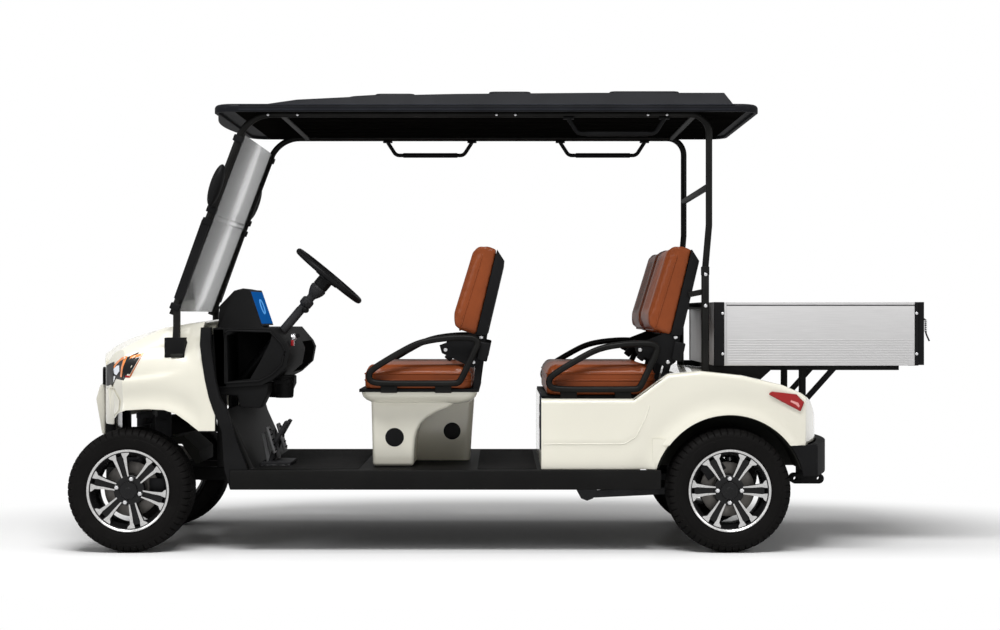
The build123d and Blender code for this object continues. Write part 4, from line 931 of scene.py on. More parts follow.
def rear_point(x, y, z):
    """Where a point of the rear body goes: flared arches and a pressed line."""
    flank = smoothstep(abs(y), 0.50, 0.572)
    near = math.hypot(x - ARCH_CENTRE[0], z - ARCH_CENTRE[1]) - ARCH_R
    out = 0.010 * bell(near, 0.026) - 0.007 * bell(near - 0.06, 0.045)
    gap, above = line_distance(x, z, BODY_CREASE)
    out += 0.0025 * math.tanh(above / 0.006) * bell(gap, 0.05) * smoothstep(-x, -0.64, -0.56)
    return Vector((x, y + math.copysign(1, y) * out * flank, z))


def make_rear_body():
    """Rear body with flared arches, and the tail lamps' lenses, each with a pink plate that is a painted
    highlight.
    """
    body = shaped(softened("rear_body", 0.004), BODY_CUTS, rear_point)
    lamps = softened("tail_lamps", 0.004, "lamp_red")
    tree = surface_of(body, lamps)
    for tag, side in SIDES:
        bead("body_line_" + tag, tree, BODY_CREASE, side, 0.0032)
        y = side * SKIRT_Y
        piece("rear_skirt_" + tag, prism(REAR_SKIRT, y - SKIRT_HALF, y + SKIRT_HALF), "body_cream")
    stick_both(TAIL_LAMP_PARTS, tree)


ROOF_FRONT_STRETCH = [(-1.30, -0.22), (-0.90, -0.22), (-0.72, -0.15), (-0.40, -0.05), (0.0, 0.0)]
ROOF_CROWN = [(-1.15, 0.20), (-0.94, 0.52), (-0.53, 0.82), (-0.20, 0.93), (0.40, 1.0)]
ROOF_BRIM_Z = 1.888
ROOF_PLATES = [(-0.540, -0.375, 1.953), (-0.050, 0.125, 1.9620), (0.470, 0.765, 1.9635)]  # front, rear, top
ROOF_BEADS_Z = (1.8615, 1.8815)
ROOF_BOLTS_X = (-0.985, -0.86, -0.02, 0.06, 0.62, 0.70)


def roof_point(x, y, z):
    """Where a point of the roof goes: the crown rises slowly from the front."""
    if z > ROOF_BRIM_Z:
        lift = smoothstep(z, ROOF_BRIM_Z, 1.896)
        x += table_value(ROOF_FRONT_STRETCH, x) * lift
        z = ROOF_BRIM_Z + (z - ROOF_BRIM_Z) * table_value(ROOF_CROWN, x)
    return Vector((x, y, z))


def make_roof():
    """Roof with a long-nosed crown, raised plates, side beads and bolts."""
    shaped(softened("roof_panel", 0.006), [(0, -1.0, 0.9, 0.06)], roof_point)
    for k, (x0, x1, top) in enumerate(ROOF_PLATES):
        stack(f"roof_plate_{k}", [(1.920, x0 - 0.012, x1 + 0.012, 0.412, 0.03),
                                  (top - 0.002, x0 - 0.002, x1 + 0.002, 0.40, 0.03),
                                  (top, x0, x1, 0.396, 0.028)], "roof_black")
    for tag, side in SIDES:
        near, far = span(side, 0.609, 0.6135)
        for k, z in enumerate(ROOF_BEADS_Z):
            block(f"roof_bead_{tag}_{k}", (-1.10, near, z - 0.0016), (0.98, far, z + 0.0016),
                  "panel_grey", 0.001)
        bolts("roof_bolts_" + tag, [(x, 0.545, 1.846) for x in ROOF_BOLTS_X], side, 0.006)


# ================================================================ seats
SEAT_FLANGE = [  # z, front x, rear x, half width, corner radius
    (0.673, -0.595, -0.103, 0.500, 0.045), (0.664, -0.595, -0.103, 0.500, 0.045),
    (0.652, -0.590, -0.108, 0.495, 0.045), (0.638, -0.578, -0.122, 0.480, 0.05),
    (0.626, -0.556, -0.145, 0.458, 0.05), (0.618, -0.52, -0.18, 0.42, 0.05),
    (0.612, -0.44, -0.25, 0.34, 0.05),
]
SEAT_TUNNEL = [
    (0.660, -0.42, -0.118, 0.100, 0.03), (0.60, -0.42, -0.122, 0.100, 0.03),
    (0.36, -0.42, -0.139, 0.100, 0.03), (0.351, -0.42, -0.142, 0.097, 0.03),
]
SEAT_BLOCK = [(-0.557, 0.655), (-0.5555, 0.60), (-0.549, 0.351), (-0.3735, 0.351), (-0.3725, 0.42),
              (-0.3680, 0.47), (-0.3590, 0.505), (-0.3440, 0.535), (-0.317, 0.562), (-0.277, 0.584),
              (-0.235, 0.601), (-0.198, 0.620), (-0.198, 0.655)]
PLUGS = [("seat_base_plug", (-0.456, 0.4455, 0.477), 0.040), ("tunnel_plug", (-0.219, 0.100, 0.482), 0.038)]
CLOTH = {"quality": 4, "mass": 0.4, "use_pressure": True, "uniform_pressure_force": 4.0,
         "tension_stiffness": 12, "compression_stiffness": 12, "bending_stiffness": 1.5,
         "vertex_group_mass": "held"}
CLOTH_FRAMES = 20
VOXEL = 0.0115
FLUTE_PITCH = 0.066
PIPING_R, PIPING_STEP = 0.0034, 0.012
PAD_INSET, PAD_CORNER_R = 0.0015, 0.045
SEAMS_BELOW_TOP = (0.790 - 0.750, 0.790 - 0.7227)
SEAT_MIDDLE_Y = 0.26
ROWS = (("front", 0.0), ("rear", 0.826))
BACK_OUTLINE = [(-0.1965, 0.987), (-0.1035, 1.291), (-0.0900, 1.3005), (-0.0180, 1.278), (-0.1063, 0.916),
                (-0.1995, 0.946)]
BACK_FOOT, BACK_HEAD = Vector((-0.196, 0.0, 0.987)), Vector((-0.103, 0.0, 1.293))
BACK_UP = (BACK_HEAD - BACK_FOOT).normalized()
BACK_INWARD = Vector((BACK_UP.z, 0, -BACK_UP.x))
BACK_Y = (-0.514, -0.037)
BACK_SEAM_DEPTH = 0.034
BACK_SEAM = (-0.043, 0.306, 0.03)  # bottom, top and corner radius, up the back
ARM_LOOP = [(-0.5150, 0.7105), (-0.3500, 0.7105), (-0.2050, 0.7105), (-0.1800, 0.7130), (-0.1660, 0.7330),
            (-0.1380, 0.7930), (-0.1087, 0.8547), (-0.0985, 0.8800), (-0.1080, 0.8985), (-0.1400, 0.9050),
            (-0.2154, 0.9040), (-0.3027, 0.8935), (-0.3609, 0.8770), (-0.4150, 0.8490), (-0.4725, 0.8159),
            (-0.5355, 0.7770), (-0.5600, 0.7530), (-0.5560, 0.7210)]
ARM_R, ARM_Y = 0.0135, 0.5405
ARM_FEET_X, ARM_FOOT_Y = (-0.475, -0.245), 0.527
ARM_ROWS = ((0.0, 0.0), (0.7605, -0.025))  # shift to the rear, lift
HINGE_PLATE = [(-0.262, 0.872), (-0.252, 0.838), (-0.120, 0.775), (-0.085, 0.800), (-0.062, 0.925),
               (-0.100, 0.935)]
HINGE_BOLTS = [(-0.236, 0.852), (-0.118, 0.800), (-0.085, 0.905)]
HINGE_Y = 0.497
BELT_PARTS = [  # name, x, y from the middle plane, shift to the left, z, half sizes, slot, edge, lean
    ("retractor", -0.075, HINGE_Y, -0.012, 0.845, (0.023, 0.018, 0.04), "trim_black", 0.006, 12),
    ("buckle", -0.206, 0.40, 0.0, 0.8425, (0.016, 0.014, 0.0425), "trim_black", 0.005, 38),
    ("buckle_button", -0.1825, 0.40, 0.0, 0.871, (0.0065, 0.009, 0.009), "lamp_red", 0.002, 38),
]


def make_seat_base():
    """Moulded pedestal of the front seat: bowl-shaped flange, tunnel, block and plugs."""
    stack("seat_base_flange", SEAT_FLANGE, "body_cream")
    stack("seat_base_tunnel", SEAT_TUNNEL, "body_cream")
    main = faceted("seat_base_block", prism(SEAT_BLOCK, -0.446, 0.446), "body_cream")
    smooth(bevelled(main, 0.022, 4, 40).data, 40)
    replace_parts(main, "front_seat_base")
    for tag, side in SIDES:
        for name, place, radius in PLUGS:
            dome(f"{name}_{tag}", on_side(place, side), (0, side, 0), radius, 0.003, "trim_black", 48)


def cloth_grown(obj, pinned, cap, inside):
    """Blows a closed mesh up under pressure, with some points held, and caps how far each moves."""
    mesh = obj.data
    rest = [vert.co.copy() for vert in mesh.vertices]
    group = obj.vertex_groups.new(name="held")
    group.add([k for k, place in enumerate(rest) if pinned(place)], 1.0, "REPLACE")
    cloth = obj.modifiers.new("cloth", "CLOTH")
    for key, value in CLOTH.items():
        setattr(cloth.settings, key, value)
    cloth.settings.effector_weights.gravity = 0
    cloth.collision_settings.use_self_collision = False
    cloth.point_cache.frame_start = 1
    cloth.point_cache.frame_end = CLOTH_FRAMES
    scene = bpy.context.scene
    for frame_number in range(1, CLOTH_FRAMES + 1):
        scene.frame_set(frame_number)
    grown = obj.evaluated_get(bpy.context.evaluated_depsgraph_get()).data
    moved = [vert.co.copy() for vert in grown.vertices]
    obj.modifiers.clear()
    obj.vertex_groups.clear()
    scene.frame_set(1)
    low, high = inside
    for vert, before, after in zip(mesh.vertices, rest, moved):
        step = after - before
        if step.length > cap:
            step *= cap / step.length
        place = before + step
        vert.co = [min(high[k], max(low[k], place[k])) for k in range(3)]


def voxelled(obj):
    """Remeshes a cushion to even cells."""
    remesh = obj.modifiers.new("even", "REMESH")
    remesh.mode = "VOXEL"
    remesh.voxel_size = VOXEL
    apply_modifiers(obj)


def subdivided(obj):
    """One level of smooth subdivision."""
    level = obj.modifiers.new("fine", "SUBSURF")
    level.levels = level.render_levels = 1
    apply_modifiers(obj)
    smooth(obj.data, 80)


def piping(name, loop):
    """The welt along a cushion's seam."""
    ring_tube(name, evened(loop, PIPING_STEP), PIPING_R, "seat_leather")


def seat_cushion(node):
    """One bench cushion: a blown-up block held in at two seams round its edge."""
    low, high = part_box(node)
    pad_box = (low.x + PAD_INSET, high.x - PAD_INSET, high.y - PAD_INSET)
    levels = [(z, *pad_box, radius) for z, radius in
              ((low.z + 0.001, 0.040), (low.z + 0.012, PAD_CORNER_R), (high.z - 0.018, PAD_CORNER_R))]
    levels.append((high.z - 0.001, low.x + 0.015, high.x - 0.015, high.y - 0.015, 0.04))
    pad = stack(node + "_pad", levels, "seat_leather")
    voxelled(pad)
    seams = [high.z - drop for drop in SEAMS_BELOW_TOP]
    edge_x, edge_y = (low.x + 0.012, high.x - 0.012), high.y - 0.012

    def held(place):
        outside = place.x < edge_x[0] or place.x > edge_x[1] or abs(place.y) > edge_y
        on_seam = any(abs(place.z - seam) < 0.006 for seam in seams)
        return place.z < low.z + 0.006 or (outside and on_seam)

    cloth_grown(pad, held, 0.011, (low, high))
    for vert in pad.data.vertices:
        x, y, z = vert.co
        top = smoothstep(z, high.z - 0.022, high.z - 0.006)
        fluted = smoothstep(x, low.x + 0.07, low.x + 0.11) * smoothstep(-x, 0.07 - high.x, 0.11 - high.x)
        fluted *= smoothstep(-abs(abs(y) - SEAT_MIDDLE_Y), -0.20, -0.16)
        flute = 0.5 - 0.5 * math.cos(2 * math.pi * (abs(y) - SEAT_MIDDLE_Y) / FLUTE_PITCH)
        vert.co.z = z - 0.0045 * top * fluted * (1 - flute) - 0.010 * top * bell(y, 0.012)
    subdivided(pad)
    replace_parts(pad, node)
    x0, x1, half = pad_box
    for k, seam in enumerate(seams):
        loop = [Vector((x, y, seam)) for x, y in rounded(x0, x1, -half, half, PAD_CORNER_R)]
        piping(f"{node}_pad_piping_{k}", loop)


def grow_back():
    """The front left back cushion, blown up by cloth simulation and fluted."""
    y_low, y_high = BACK_Y
    pad = faceted("back_front_left", prism(BACK_OUTLINE, *BACK_Y), "seat_leather")
    voxelled(bevelled(pad, 0.014, 3, 25))

    def held(place):
        depth = (place - BACK_FOOT).dot(BACK_INWARD)
        side = place.y < y_low + 0.010 or place.y > y_high - 0.010 or place.z > 1.27 or place.z < 0.96
        return depth > 0.086 or (side and abs(depth - BACK_SEAM_DEPTH) < 0.005)

    low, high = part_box("backs_front")
    cloth_grown(pad, held, 0.010, ((low.x, -0.515, low.z), (high.x, -0.035, high.z)))
    middle = (y_low + y_high) / 2
    for vert in pad.data.vertices:
        depth = (vert.co - BACK_FOOT).dot(BACK_INWARD)
        rise = (vert.co - BACK_FOOT).dot(BACK_UP)
        front = smoothstep(-depth, -0.026, -0.012)
        fluted = smoothstep(-abs(vert.co.y - middle), -0.165, -0.13)
        fluted *= smoothstep(rise, 0.02, 0.05) * smoothstep(-rise, -0.29, -0.25)
        flute = 0.5 + 0.5 * math.cos(2 * math.pi * (vert.co.y - middle) / FLUTE_PITCH)
        vert.co += BACK_INWARD * 0.006 * front * fluted * (1 - flute)
    subdivided(pad)
    return pad


def back_copy(pad, name, shift, side):
    """A copy of the grown back cushion for another seat, mirrored for the right side."""
    mesh = pad.data.copy()
    for vert in mesh.vertices:
        vert.co.x += shift
        vert.co.y *= -side
    if side > 0:
        mesh.flip_normals()
    mesh.materials.clear()
    copy = add_piece(mesh, name, "seat_leather")
    return copy


def back_seam():
    """The piping's loop round a back cushion, a little behind its front face."""
    bottom, top, radius = BACK_SEAM
    base = BACK_FOOT + BACK_INWARD * BACK_SEAM_DEPTH
    return [base + BACK_UP * rise + Vector((0, y, 0)) for y, rise in rounded(*BACK_Y, bottom, top, radius, 6)]


def make_backs():
    """Four back cushions: one grown, and its copies."""
    pad = grow_back()
    for row, shift in ROWS:
        for tag, side in SIDES:
            first = not shift and side < 0
            back = pad if first else back_copy(pad, f"back_{row}_{tag}", shift, side)
            if side < 0:
                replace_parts(back, "backs_" + row)
            piping(f"back_piping_{row}_{tag}", [Vector((p.x + shift, -side * p.y, p.z)) for p in back_seam()])


def make_armrests():
    """Looped arm tubes with the feet that carry them on the seat pans."""
    parts = []
    for shift, lift in ARM_ROWS:
        for tag, side in SIDES:
            points = [Vector((x + shift, side * ARM_Y, z + lift)) for x, z in ARM_LOOP]
            parts.append(pipe("arm_tube", points, ARM_R, "tube_black", sides=16, closed=True))
            for x in ARM_FEET_X:
                foot = around(x + shift, side * ARM_FOOT_Y, 0.6865 + lift, 0.035, 0.013, 0.0165)
                parts.append(block("arm_foot", *foot, "trim_black"))
    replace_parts(join(parts), "armrests")


def make_seat_fittings(name, side, shift):
    """Hinge plate, belt retractor and buckle at one seat."""
    y = side * HINGE_Y
    plate = [(x + shift, z) for x, z in HINGE_PLATE]
    piece("hinge_plate_" + name, prism(plate, y - 0.004, y + 0.004), "trim_black")
    bolts("hinge_bolts_" + name, [(x + shift, HINGE_Y + 0.004, z) for x, z in HINGE_BOLTS], side, 0.009)
    for part, x, y, aside, z, halves, slot, edge, lean in BELT_PARTS:
        box = around(x + shift, side * y + aside, z, *halves)
        block(f"{part}_{name}", *box, slot, edge, turn=("Y", lean))


def make_seats():
    """Arms, cushions, backs, belts and brackets."""
    make_armrests()
    seat_cushion("cushion_front")
    seat_cushion("cushion_rear")
    make_backs()
    for row, shift in ROWS:
        for tag, side in SIDES:
            make_seat_fittings(f"{row}_{tag}", side, shift)


# ================================================================ cargo box
CARGO_X = (0.957, 1.7545)
CARGO_INNER_Y = 0.5
CARGO_STRIPS = [  # name, low z, high z, outer y, slot, edge
    ("cargo_rail", 1.0432, 1.0550, 0.5085, "aluminium", 0.001),
    ("cargo_line", 1.0390, 1.0432, 0.5070, "trim_black", 0.0003),
]
CARGO_BOLTS = [  # name, x, y, heights, radius
    ("cargo_bolts", 0.940, 0.505, (1.007, 0.835), 0.0065),
    ("corner_bolts", 1.7635, 0.505, (1.007, 0.835), 0.0065),
    ("post_bolts", 0.863, 0.5465, (1.171, 1.0385), 0.0075),
]
RIB_PITCH, RIB_HALF = 0.0105, 0.0017
GATE_Y = 0.496
GATE_HINGES_Y = (-0.36, 0.0, 0.36)
GATE_KNUCKLE = [(0.0, -0.03), (0.0072, -0.03), (0.008, -0.029), (0.008, 0.029), (0.0072, 0.03), (0.0, 0.03)]
LATCH_Y = 0.474
LATCH_ROD = [(1.793, 0.983), (1.809, 0.985), (1.809, 0.960), (1.809, 0.932), (1.810, 0.922), (1.817, 0.905),
             (1.8245, 0.889)]


def rib_heights(lowest, count):
    """Middle heights of a panel's pressed ribs."""
    return [lowest + RIB_PITCH * k for k in range(count)]


def make_cargo():
    """Skins, ribs, rails and bolts of the load box."""
    for tag, side in SIDES:
        def strip(name, z0, z1, outer, slot, edge, ends=CARGO_X):
            near, far = span(side, CARGO_INNER_Y, outer)
            return block(f"{name}_{tag}", (ends[0], near, z0), (ends[1], far, z1), slot, edge)

        strip("cargo_skin", 0.7865, 1.0548, 0.5066, "aluminium", 0.001)
        join([strip("cargo_rib", z - RIB_HALF, z + RIB_HALF, 0.5078, "aluminium", 0.0005, (0.960, 1.752))
              for z in rib_heights(0.800, 10)])
        for values in CARGO_STRIPS:
            strip(*values)
        for name, x, y, heights, radius in CARGO_BOLTS:
            bolts(f"{name}_{tag}", [(x, y, z) for z in heights], side, radius)


def make_gate():
    """Drop gate: ribbed panel, top rail, hinge knuckles and two spring latches."""
    def part(name, low, high, slot, edge):
        return block(name, low, high, slot, edge, "tailgate")

    panel = part("gate_panel", (1.777, -GATE_Y, 0.801), (1.791, GATE_Y, 1.050), "aluminium", 0.002)
    part("gate_rail", (1.776, -GATE_Y, 1.033), (1.797, GATE_Y, 1.055), "aluminium", 0.002)
    join([part("gate_ribs", (1.7905, -0.48, z - RIB_HALF), (1.7926, 0.48, z + RIB_HALF), "aluminium", 0.0007)
          for z in rib_heights(0.846, 8)])
    for k, y in enumerate(GATE_HINGES_Y):
        knuckle = lathe(GATE_KNUCKLE, 24, Vector((1.8, y, 0.793)))
        piece(f"gate_knuckle_{k}", knuckle, "steel_bright", 40, "tailgate")
        part(f"gate_leaf_{k}", *around(1.7925, y, 0.813, 0.0035, 0.03, 0.016), "steel_bright", 0.001)
    for tag, side in SIDES:
        near, far = span(side, 0.4955, 0.4995)
        part("gate_cap_" + tag, (1.7735, near, 0.7875), (1.7965, far, 1.0552), "trim_black", 0.0012)
        y = side * LATCH_Y
        part("latch_plate_" + tag, *around(1.7925, y, 0.9575, 0.0025, 0.014, 0.0275), "steel_bright", 0.0015)
        turns = [Vector((1.809 + 0.0056 * math.cos(k * 0.7), y + 0.0052 * math.sin(k * 0.7),
                         0.928 + 0.00092 * k)) for k in range(56)]
        pipe("latch_spring_" + tag, turns, 0.0019, "steel_bright", "tailgate", sides=6)
        rod = [Vector((x, y, z)) for x, z in LATCH_ROD]
        pipe("latch_rod_" + tag, rod, 0.0036, "steel_dark", "tailgate", sides=8)
    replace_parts(panel, "tailgate")


# ================================================================ cab details
SCREEN_X, SCREEN_Y0, SCREEN_Z = -1.0775, -0.372, 1.101
SCREEN_LEAN, SCREEN_TURN = 0.339, 0.07
SCREEN_THICK = 0.004
SCREEN_PARTS = [  # name, nearer y, farther y, top, bottom, how far in front, slot
    ("display_bezel", -0.384, -0.126, 1.109, 0.955, -0.003, "panel_grey"),
    ("display_glass", -0.372, -0.138, 1.101, 0.9625, 0.0, "screen_blue"),
]
DIAL_Y, DIAL_Z, DIAL_R = -0.255, 1.036, 0.030
DASH_POCKET = [(-1.158, 0.915), (-1.124, 0.937), (-0.965, 0.925), (-0.975, 0.885), (-1.010, 0.815),
               (-1.060, 0.728), (-1.152, 0.7185)]
DASH_BRACKET = [(-1.2035, 0.700), (-0.985, 0.712), (-0.985, 0.672), (-1.016, 0.606), (-1.105, 0.610),
                (-1.114, 0.659), (-1.2035, 0.664)]
DASH_END_Y = 0.5555
DASH_END_RIM = [(-1.165, 0.925), (-1.150, 0.935), (-0.975, 0.930), (-0.925, 0.878), (-0.912, 0.848),
                (-0.925, 0.790), (-0.968, 0.748), (-1.020, 0.722), (-1.165, 0.712)]
DASH_CHEEK = [(-1.212, 0.938), (-1.172, 0.938), (-1.160, 0.700), (-1.196, 0.700)]
PEDALS = [(-0.992, -0.365, 0.462), (-0.962, -0.245, 0.468)]
PEDAL_LEAN, STEM_LEAN = 16, 10
PEDAL_RIBS, PEDAL_RIB_PITCH = 5, 0.022
CUP = [(0.0, 0.640), (0.036, 0.640), (0.040, 0.646), (0.0455, 0.726), (0.049, 0.730), (0.049, 0.738),
       (0.044, 0.738), (0.042, 0.730), (0.037, 0.650), (0.0, 0.648)]
CUP_X, CUP_Y = -0.945, -0.300
SPLASH_PLATE = [(-1.487, 0.452), (-1.405, 0.468), (-1.332, 0.402), (-1.332, 0.345), (-1.352, 0.345),
                (-1.41, 0.43), (-1.487, 0.432)]
POST_Y = 0.530
PILLAR_LEAN = 20.6
PILLAR_FOOT_X, PILLAR_FOOT_Z = -1.374, 1.045
CLAMPS_Z = (1.035, 1.395, 1.445, 1.745)
RAIL_FOOT, RAIL_HEAD, RAIL_WIDTH = (-1.3655, 1.066), (-1.2465, 1.398), 0.036
GRIPS = [("front", "right", -0.545), ("rear", "left", 0.285), ("rear", "right", 0.285)]  # row, side, x
FLOOR_RIBS_X = ((-1.02, -0.60), (-0.10, 0.15))
FLOOR_RIBS_END_Y, FLOOR_RIB_PITCH = 0.56, 0.02
SPRINGS = [  # name, foot, head, radius
    ("front_spring", (-1.567, 0.2455, 0.28), (-1.567, 0.217, 0.53), 0.029),
    ("rear_spring", (1.0595, 0.300, 0.345), (1.0675, 0.300, 0.595), 0.031),
]
STEER_CENTRE = Vector((-0.750, -0.300, 1.170))
STEER_AXIS = Vector((math.cos(math.radians(50)), 0, math.sin(math.radians(50))))
COLUMN = [  # radius, place along the axis from the wheel's centre
    (0.0, -0.0640), (0.0330, -0.0640), (0.0370, -0.0720), (0.0350, -0.0850), (0.0290, -0.1000),
    (0.0220, -0.1120), (0.0185, -0.1180), (0.0185, -0.1300), (0.0250, -0.1340), (0.0280, -0.1400),
    (0.0280, -0.1620), (0.0250, -0.1680), (0.0185, -0.1720), (0.0185, -0.1880), (0.0200, -0.1920),
    (0.0200, -0.6000), (0.0, -0.6000),
]


def screen_x(y, z):
    """Where the display's front is, seen from the driver."""
    return SCREEN_X + SCREEN_LEAN * (SCREEN_Z - z) + SCREEN_TURN * (y - SCREEN_Y0)


def make_display():
    """Display's bezel, glass and lit dial."""
    faces = [(0, 1, 2, 3), (7, 6, 5, 4), (0, 4, 5, 1), (1, 5, 6, 2), (2, 6, 7, 3), (3, 7, 4, 0)]
    for name, y0, y1, high, low, proud, slot in SCREEN_PARTS:
        verts = []
        for y in (y0, y1):
            for z, place in ((high, "back"), (high, "front"), (low, "front"), (low, "back")):
                x = screen_x(y, z) if place == "front" else screen_x(SCREEN_Y0, z) - SCREEN_THICK
                verts.append((x + proud, y, z))
        faceted(name, (verts, faces), slot)
    places = [(DIAL_Y + DIAL_R * c, DIAL_Z + DIAL_R * s) for c, s in circle(32)]
    dial = [Vector((screen_x(y, z) + 0.001, y, z)) for y, z in places]
    ring_tube("display_dial", dial, 0.0035, "screen_light")


def make_dash():
    """Pockets cut into the dashboard, brackets under it and its ends."""
    dash = bpy.data.objects["dashboard_soft"]
    for tag, side in SIDES:
        pocket = prism(DASH_POCKET, *span(side, 0.235, 0.70))
        cutter = placed("pocket_cutter", mesh_from("pocket_cutter", *pocket))
        cut = dash.modifiers.new("pocket", "BOOLEAN")
        cut.operation = "DIFFERENCE"
        cut.solver = "EXACT"
        cut.object = cutter
        apply_modifiers(dash)
        bpy.data.objects.remove(cutter)
        bracket = faceted("dash_bracket_" + tag, prism(DASH_BRACKET, *span(side, 0.40, 0.545)), "dash_black")
        smooth(bevelled(bracket, 0.006, 2, 30).data, 35)
        end = side * DASH_END_Y
        loop = [Vector((x, end + side * 0.0015, z)) for x, z in DASH_END_RIM]
        ring_tube("dash_end_rim_" + tag, evened(loop, 0.02), 0.0045, "dash_black")
        piece("dash_cheek_" + tag, prism(DASH_CHEEK, end - 0.004, end + side * 0.004), "panel_grey")
    smooth(dash.data, 35)
    dome("key_switch", (-0.893, -0.40, 0.905), (0.95, 0, 0.3), 0.015, 0.012, "steel_bright")
    block("key_knob", (-0.889, -0.404, 0.902), (-0.866, -0.396, 0.918), "trim_black", 0.002, turn=("Y", -20))
    block("dash_switch", (-0.897, -0.47, 0.868), (-0.884, -0.45, 0.893), "lamp_red", 0.002)
    block("cup_holder_arm", (-0.985, -0.345, 0.700), (-0.915, -0.255, 0.722), "dash_black", 0.006)
    turned("cup_holder", CUP, lambda r, z, c, s: (CUP_X + r * c, CUP_Y + r * s, z), "dash_black", 48, 40)


def make_pedals():
    """Ribbed pads on stems, and the plate under them."""
    slope = math.tan(math.radians(PEDAL_LEAN))
    for k, (x, y, z) in enumerate(PEDALS):
        pad = around(x, y, z, 0.006, 0.036, 0.06)
        block(f"pedal_pad_{k}", *pad, "pedal_grey", 0.005, turn=("Y", -PEDAL_LEAN))
        stem = around(x - 0.023, y, z - 0.035, 0.009, 0.009, 0.065)
        block(f"pedal_stem_{k}", *stem, "pedal_grey", 0.004, turn=("Y", -STEM_LEAN))
        for row in range(PEDAL_RIBS):
            rise = (row - PEDAL_RIBS // 2) * PEDAL_RIB_PITCH
            rib = around(x + 0.006 - rise * slope, y, z + rise, 0.003, 0.03, 0.003)
            block(f"pedal_rib_{k}_{row}", *rib, "trim_black", 0.001)
    block("pedal_plate", (-1.030, -0.42, 0.3505), (-0.905, -0.19, 0.362), "pedal_grey")


def make_charge_point():
    """Charging sockets on their panel, on the front of the rear body."""
    for k, z in enumerate((0.604, 0.545)):
        port = around(0.16625, -0.5075, z, 0.00425, 0.0375, 0.018 + 0.010 * k)
        block(f"charge_port_{k}", *port, "trim_black")
    block("charge_panel", (0.1640, -0.562, 0.432), (0.1692, -0.445, 0.672), "panel_grey")


def make_pillar_parts():
    """Collars, clamps and rails on the posts, grips on the handles and the windshield's hinge."""
    slope = math.tan(math.radians(PILLAR_LEAN))
    for tag, side in SIDES:
        y = side * POST_Y
        block("post_collar_" + tag, *around(0.863, y, 1.1865, 0.0165, 0.0165, 0.0185), "tube_black")
        for k, z in enumerate(CLAMPS_Z):
            x = PILLAR_FOOT_X + (z - PILLAR_FOOT_Z) * slope
            clamp = around(x, y - 0.0015, z, 0.021, 0.0185, 0.014)
            block(f"pillar_clamp_{tag}_{k}", *clamp, "trim_black", 0.004, turn=("Y", PILLAR_LEAN))
        rail = prism(slanted(RAIL_FOOT, RAIL_HEAD, RAIL_WIDTH), y - 0.015, y + 0.015)
        piece("windshield_rail_" + tag, rail, "trim_black")
        for row, grip_side, x0 in GRIPS:
            if grip_side == tag:
                grip = [Vector((x0 + 0.075 + 0.02 * k, y, 1.768)) for k in range(14)]
                pipe(f"handle_grip_{tag}_{row}", grip, 0.0118, "wheel_grip")
    hinge = around(-1.233, 0.0, 1.4195, 0.0045, 0.500, 0.0145)
    block("windshield_hinge", *hinge, "glass", turn=("Y", PILLAR_LEAN))


def slanted(foot, head, width):
    """Side-view outline of a straight bar between two points."""
    dx, dz = head[0] - foot[0], head[1] - foot[1]
    length = math.hypot(dx, dz)
    nx, nz = -dz / length * width / 2, dx / length * width / 2
    return [(foot[0] - nx, foot[1] - nz), (head[0] - nx, head[1] - nz),
            (head[0] + nx, head[1] + nz), (foot[0] + nx, foot[1] + nz)]


def make_springs():
    """Coil springs of both axles, and the splash plate behind the front ones."""
    for tag, side in SIDES:
        for name, foot, head, radius in SPRINGS:
            coil(f"{name}_{tag}", on_side(foot, side), on_side(head, side), radius)
    piece("splash_plate", prism(SPLASH_PLATE, -0.19, 0.19), "liner_black")


def coil(name, foot, head, radius, turns=7, steps_a_turn=12):
    """A coil spring between two points."""
    along = (head - foot).normalized()
    across = along.orthogonal().normalized()
    third = along.cross(across)
    steps = turns * steps_a_turn
    points = []
    for k in range(steps + 1):
        angle = 2 * math.pi * k / steps_a_turn
        spoke = across * math.cos(angle) + third * math.sin(angle)
        points.append(foot + (head - foot) * k / steps + spoke * radius)
    pipe(name, points, 0.0045, "steel_dark", sides=8)


def make_floor_ribs():
    """Ribs of the rubber mats on both floors."""
    ribs = []
    for x0, x1 in FLOOR_RIBS_X:
        y = -FLOOR_RIBS_END_Y
        while y < FLOOR_RIBS_END_Y:
            ribs.append(block("floor_ribs", (x0, y, 0.3495), (x1, y + 0.007, 0.3525), "floor_mat", 0.001))
            y += FLOOR_RIB_PITCH
    join(ribs)


def make_lining():
    """Dark lining with seven ribs under the roof."""
    parts = [block("roof_lining", (-1.12, -0.585, 1.8535), (1.03, 0.585, 1.8565), "lining_black", 0.001)]
    for k in range(7):
        rib = around(-0.015, -0.45 + 0.15 * k, 1.852, 0.935, 0.012, 0.0025)
        parts.append(block("roof_lining", *rib, "lining_black", 0.002))
    join(parts)


def make_steering_column():
    """Bellows, tilt joint and outer tube of the steering column."""
    across = Vector((0, 1, 0))
    third = STEER_AXIS.cross(across)

    def place(radius, along, cosine, sine):
        return STEER_CENTRE + STEER_AXIS * along + (across * cosine + third * sine) * radius

    column = turned("column_tube", COLUMN, place, "steel_dark", 40, 35)
    joint = STEER_CENTRE - STEER_AXIS * 0.151
    ear = STEER_CENTRE - STEER_AXIS * 0.178
    for tag, side in SIDES:
        out = (0, side, 0)
        dome("column_bolt_" + tag, joint + on_side((0, 0.0275, 0), side), out, 0.010, 0.008, "steel_dark")
        ear_middle = ear + on_side((0.012, 0.020, -0.012), side)
        dome("column_ear_" + tag, ear_middle, out, 0.013, 0.012, "trim_black")
    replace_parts(column, "steering_column")


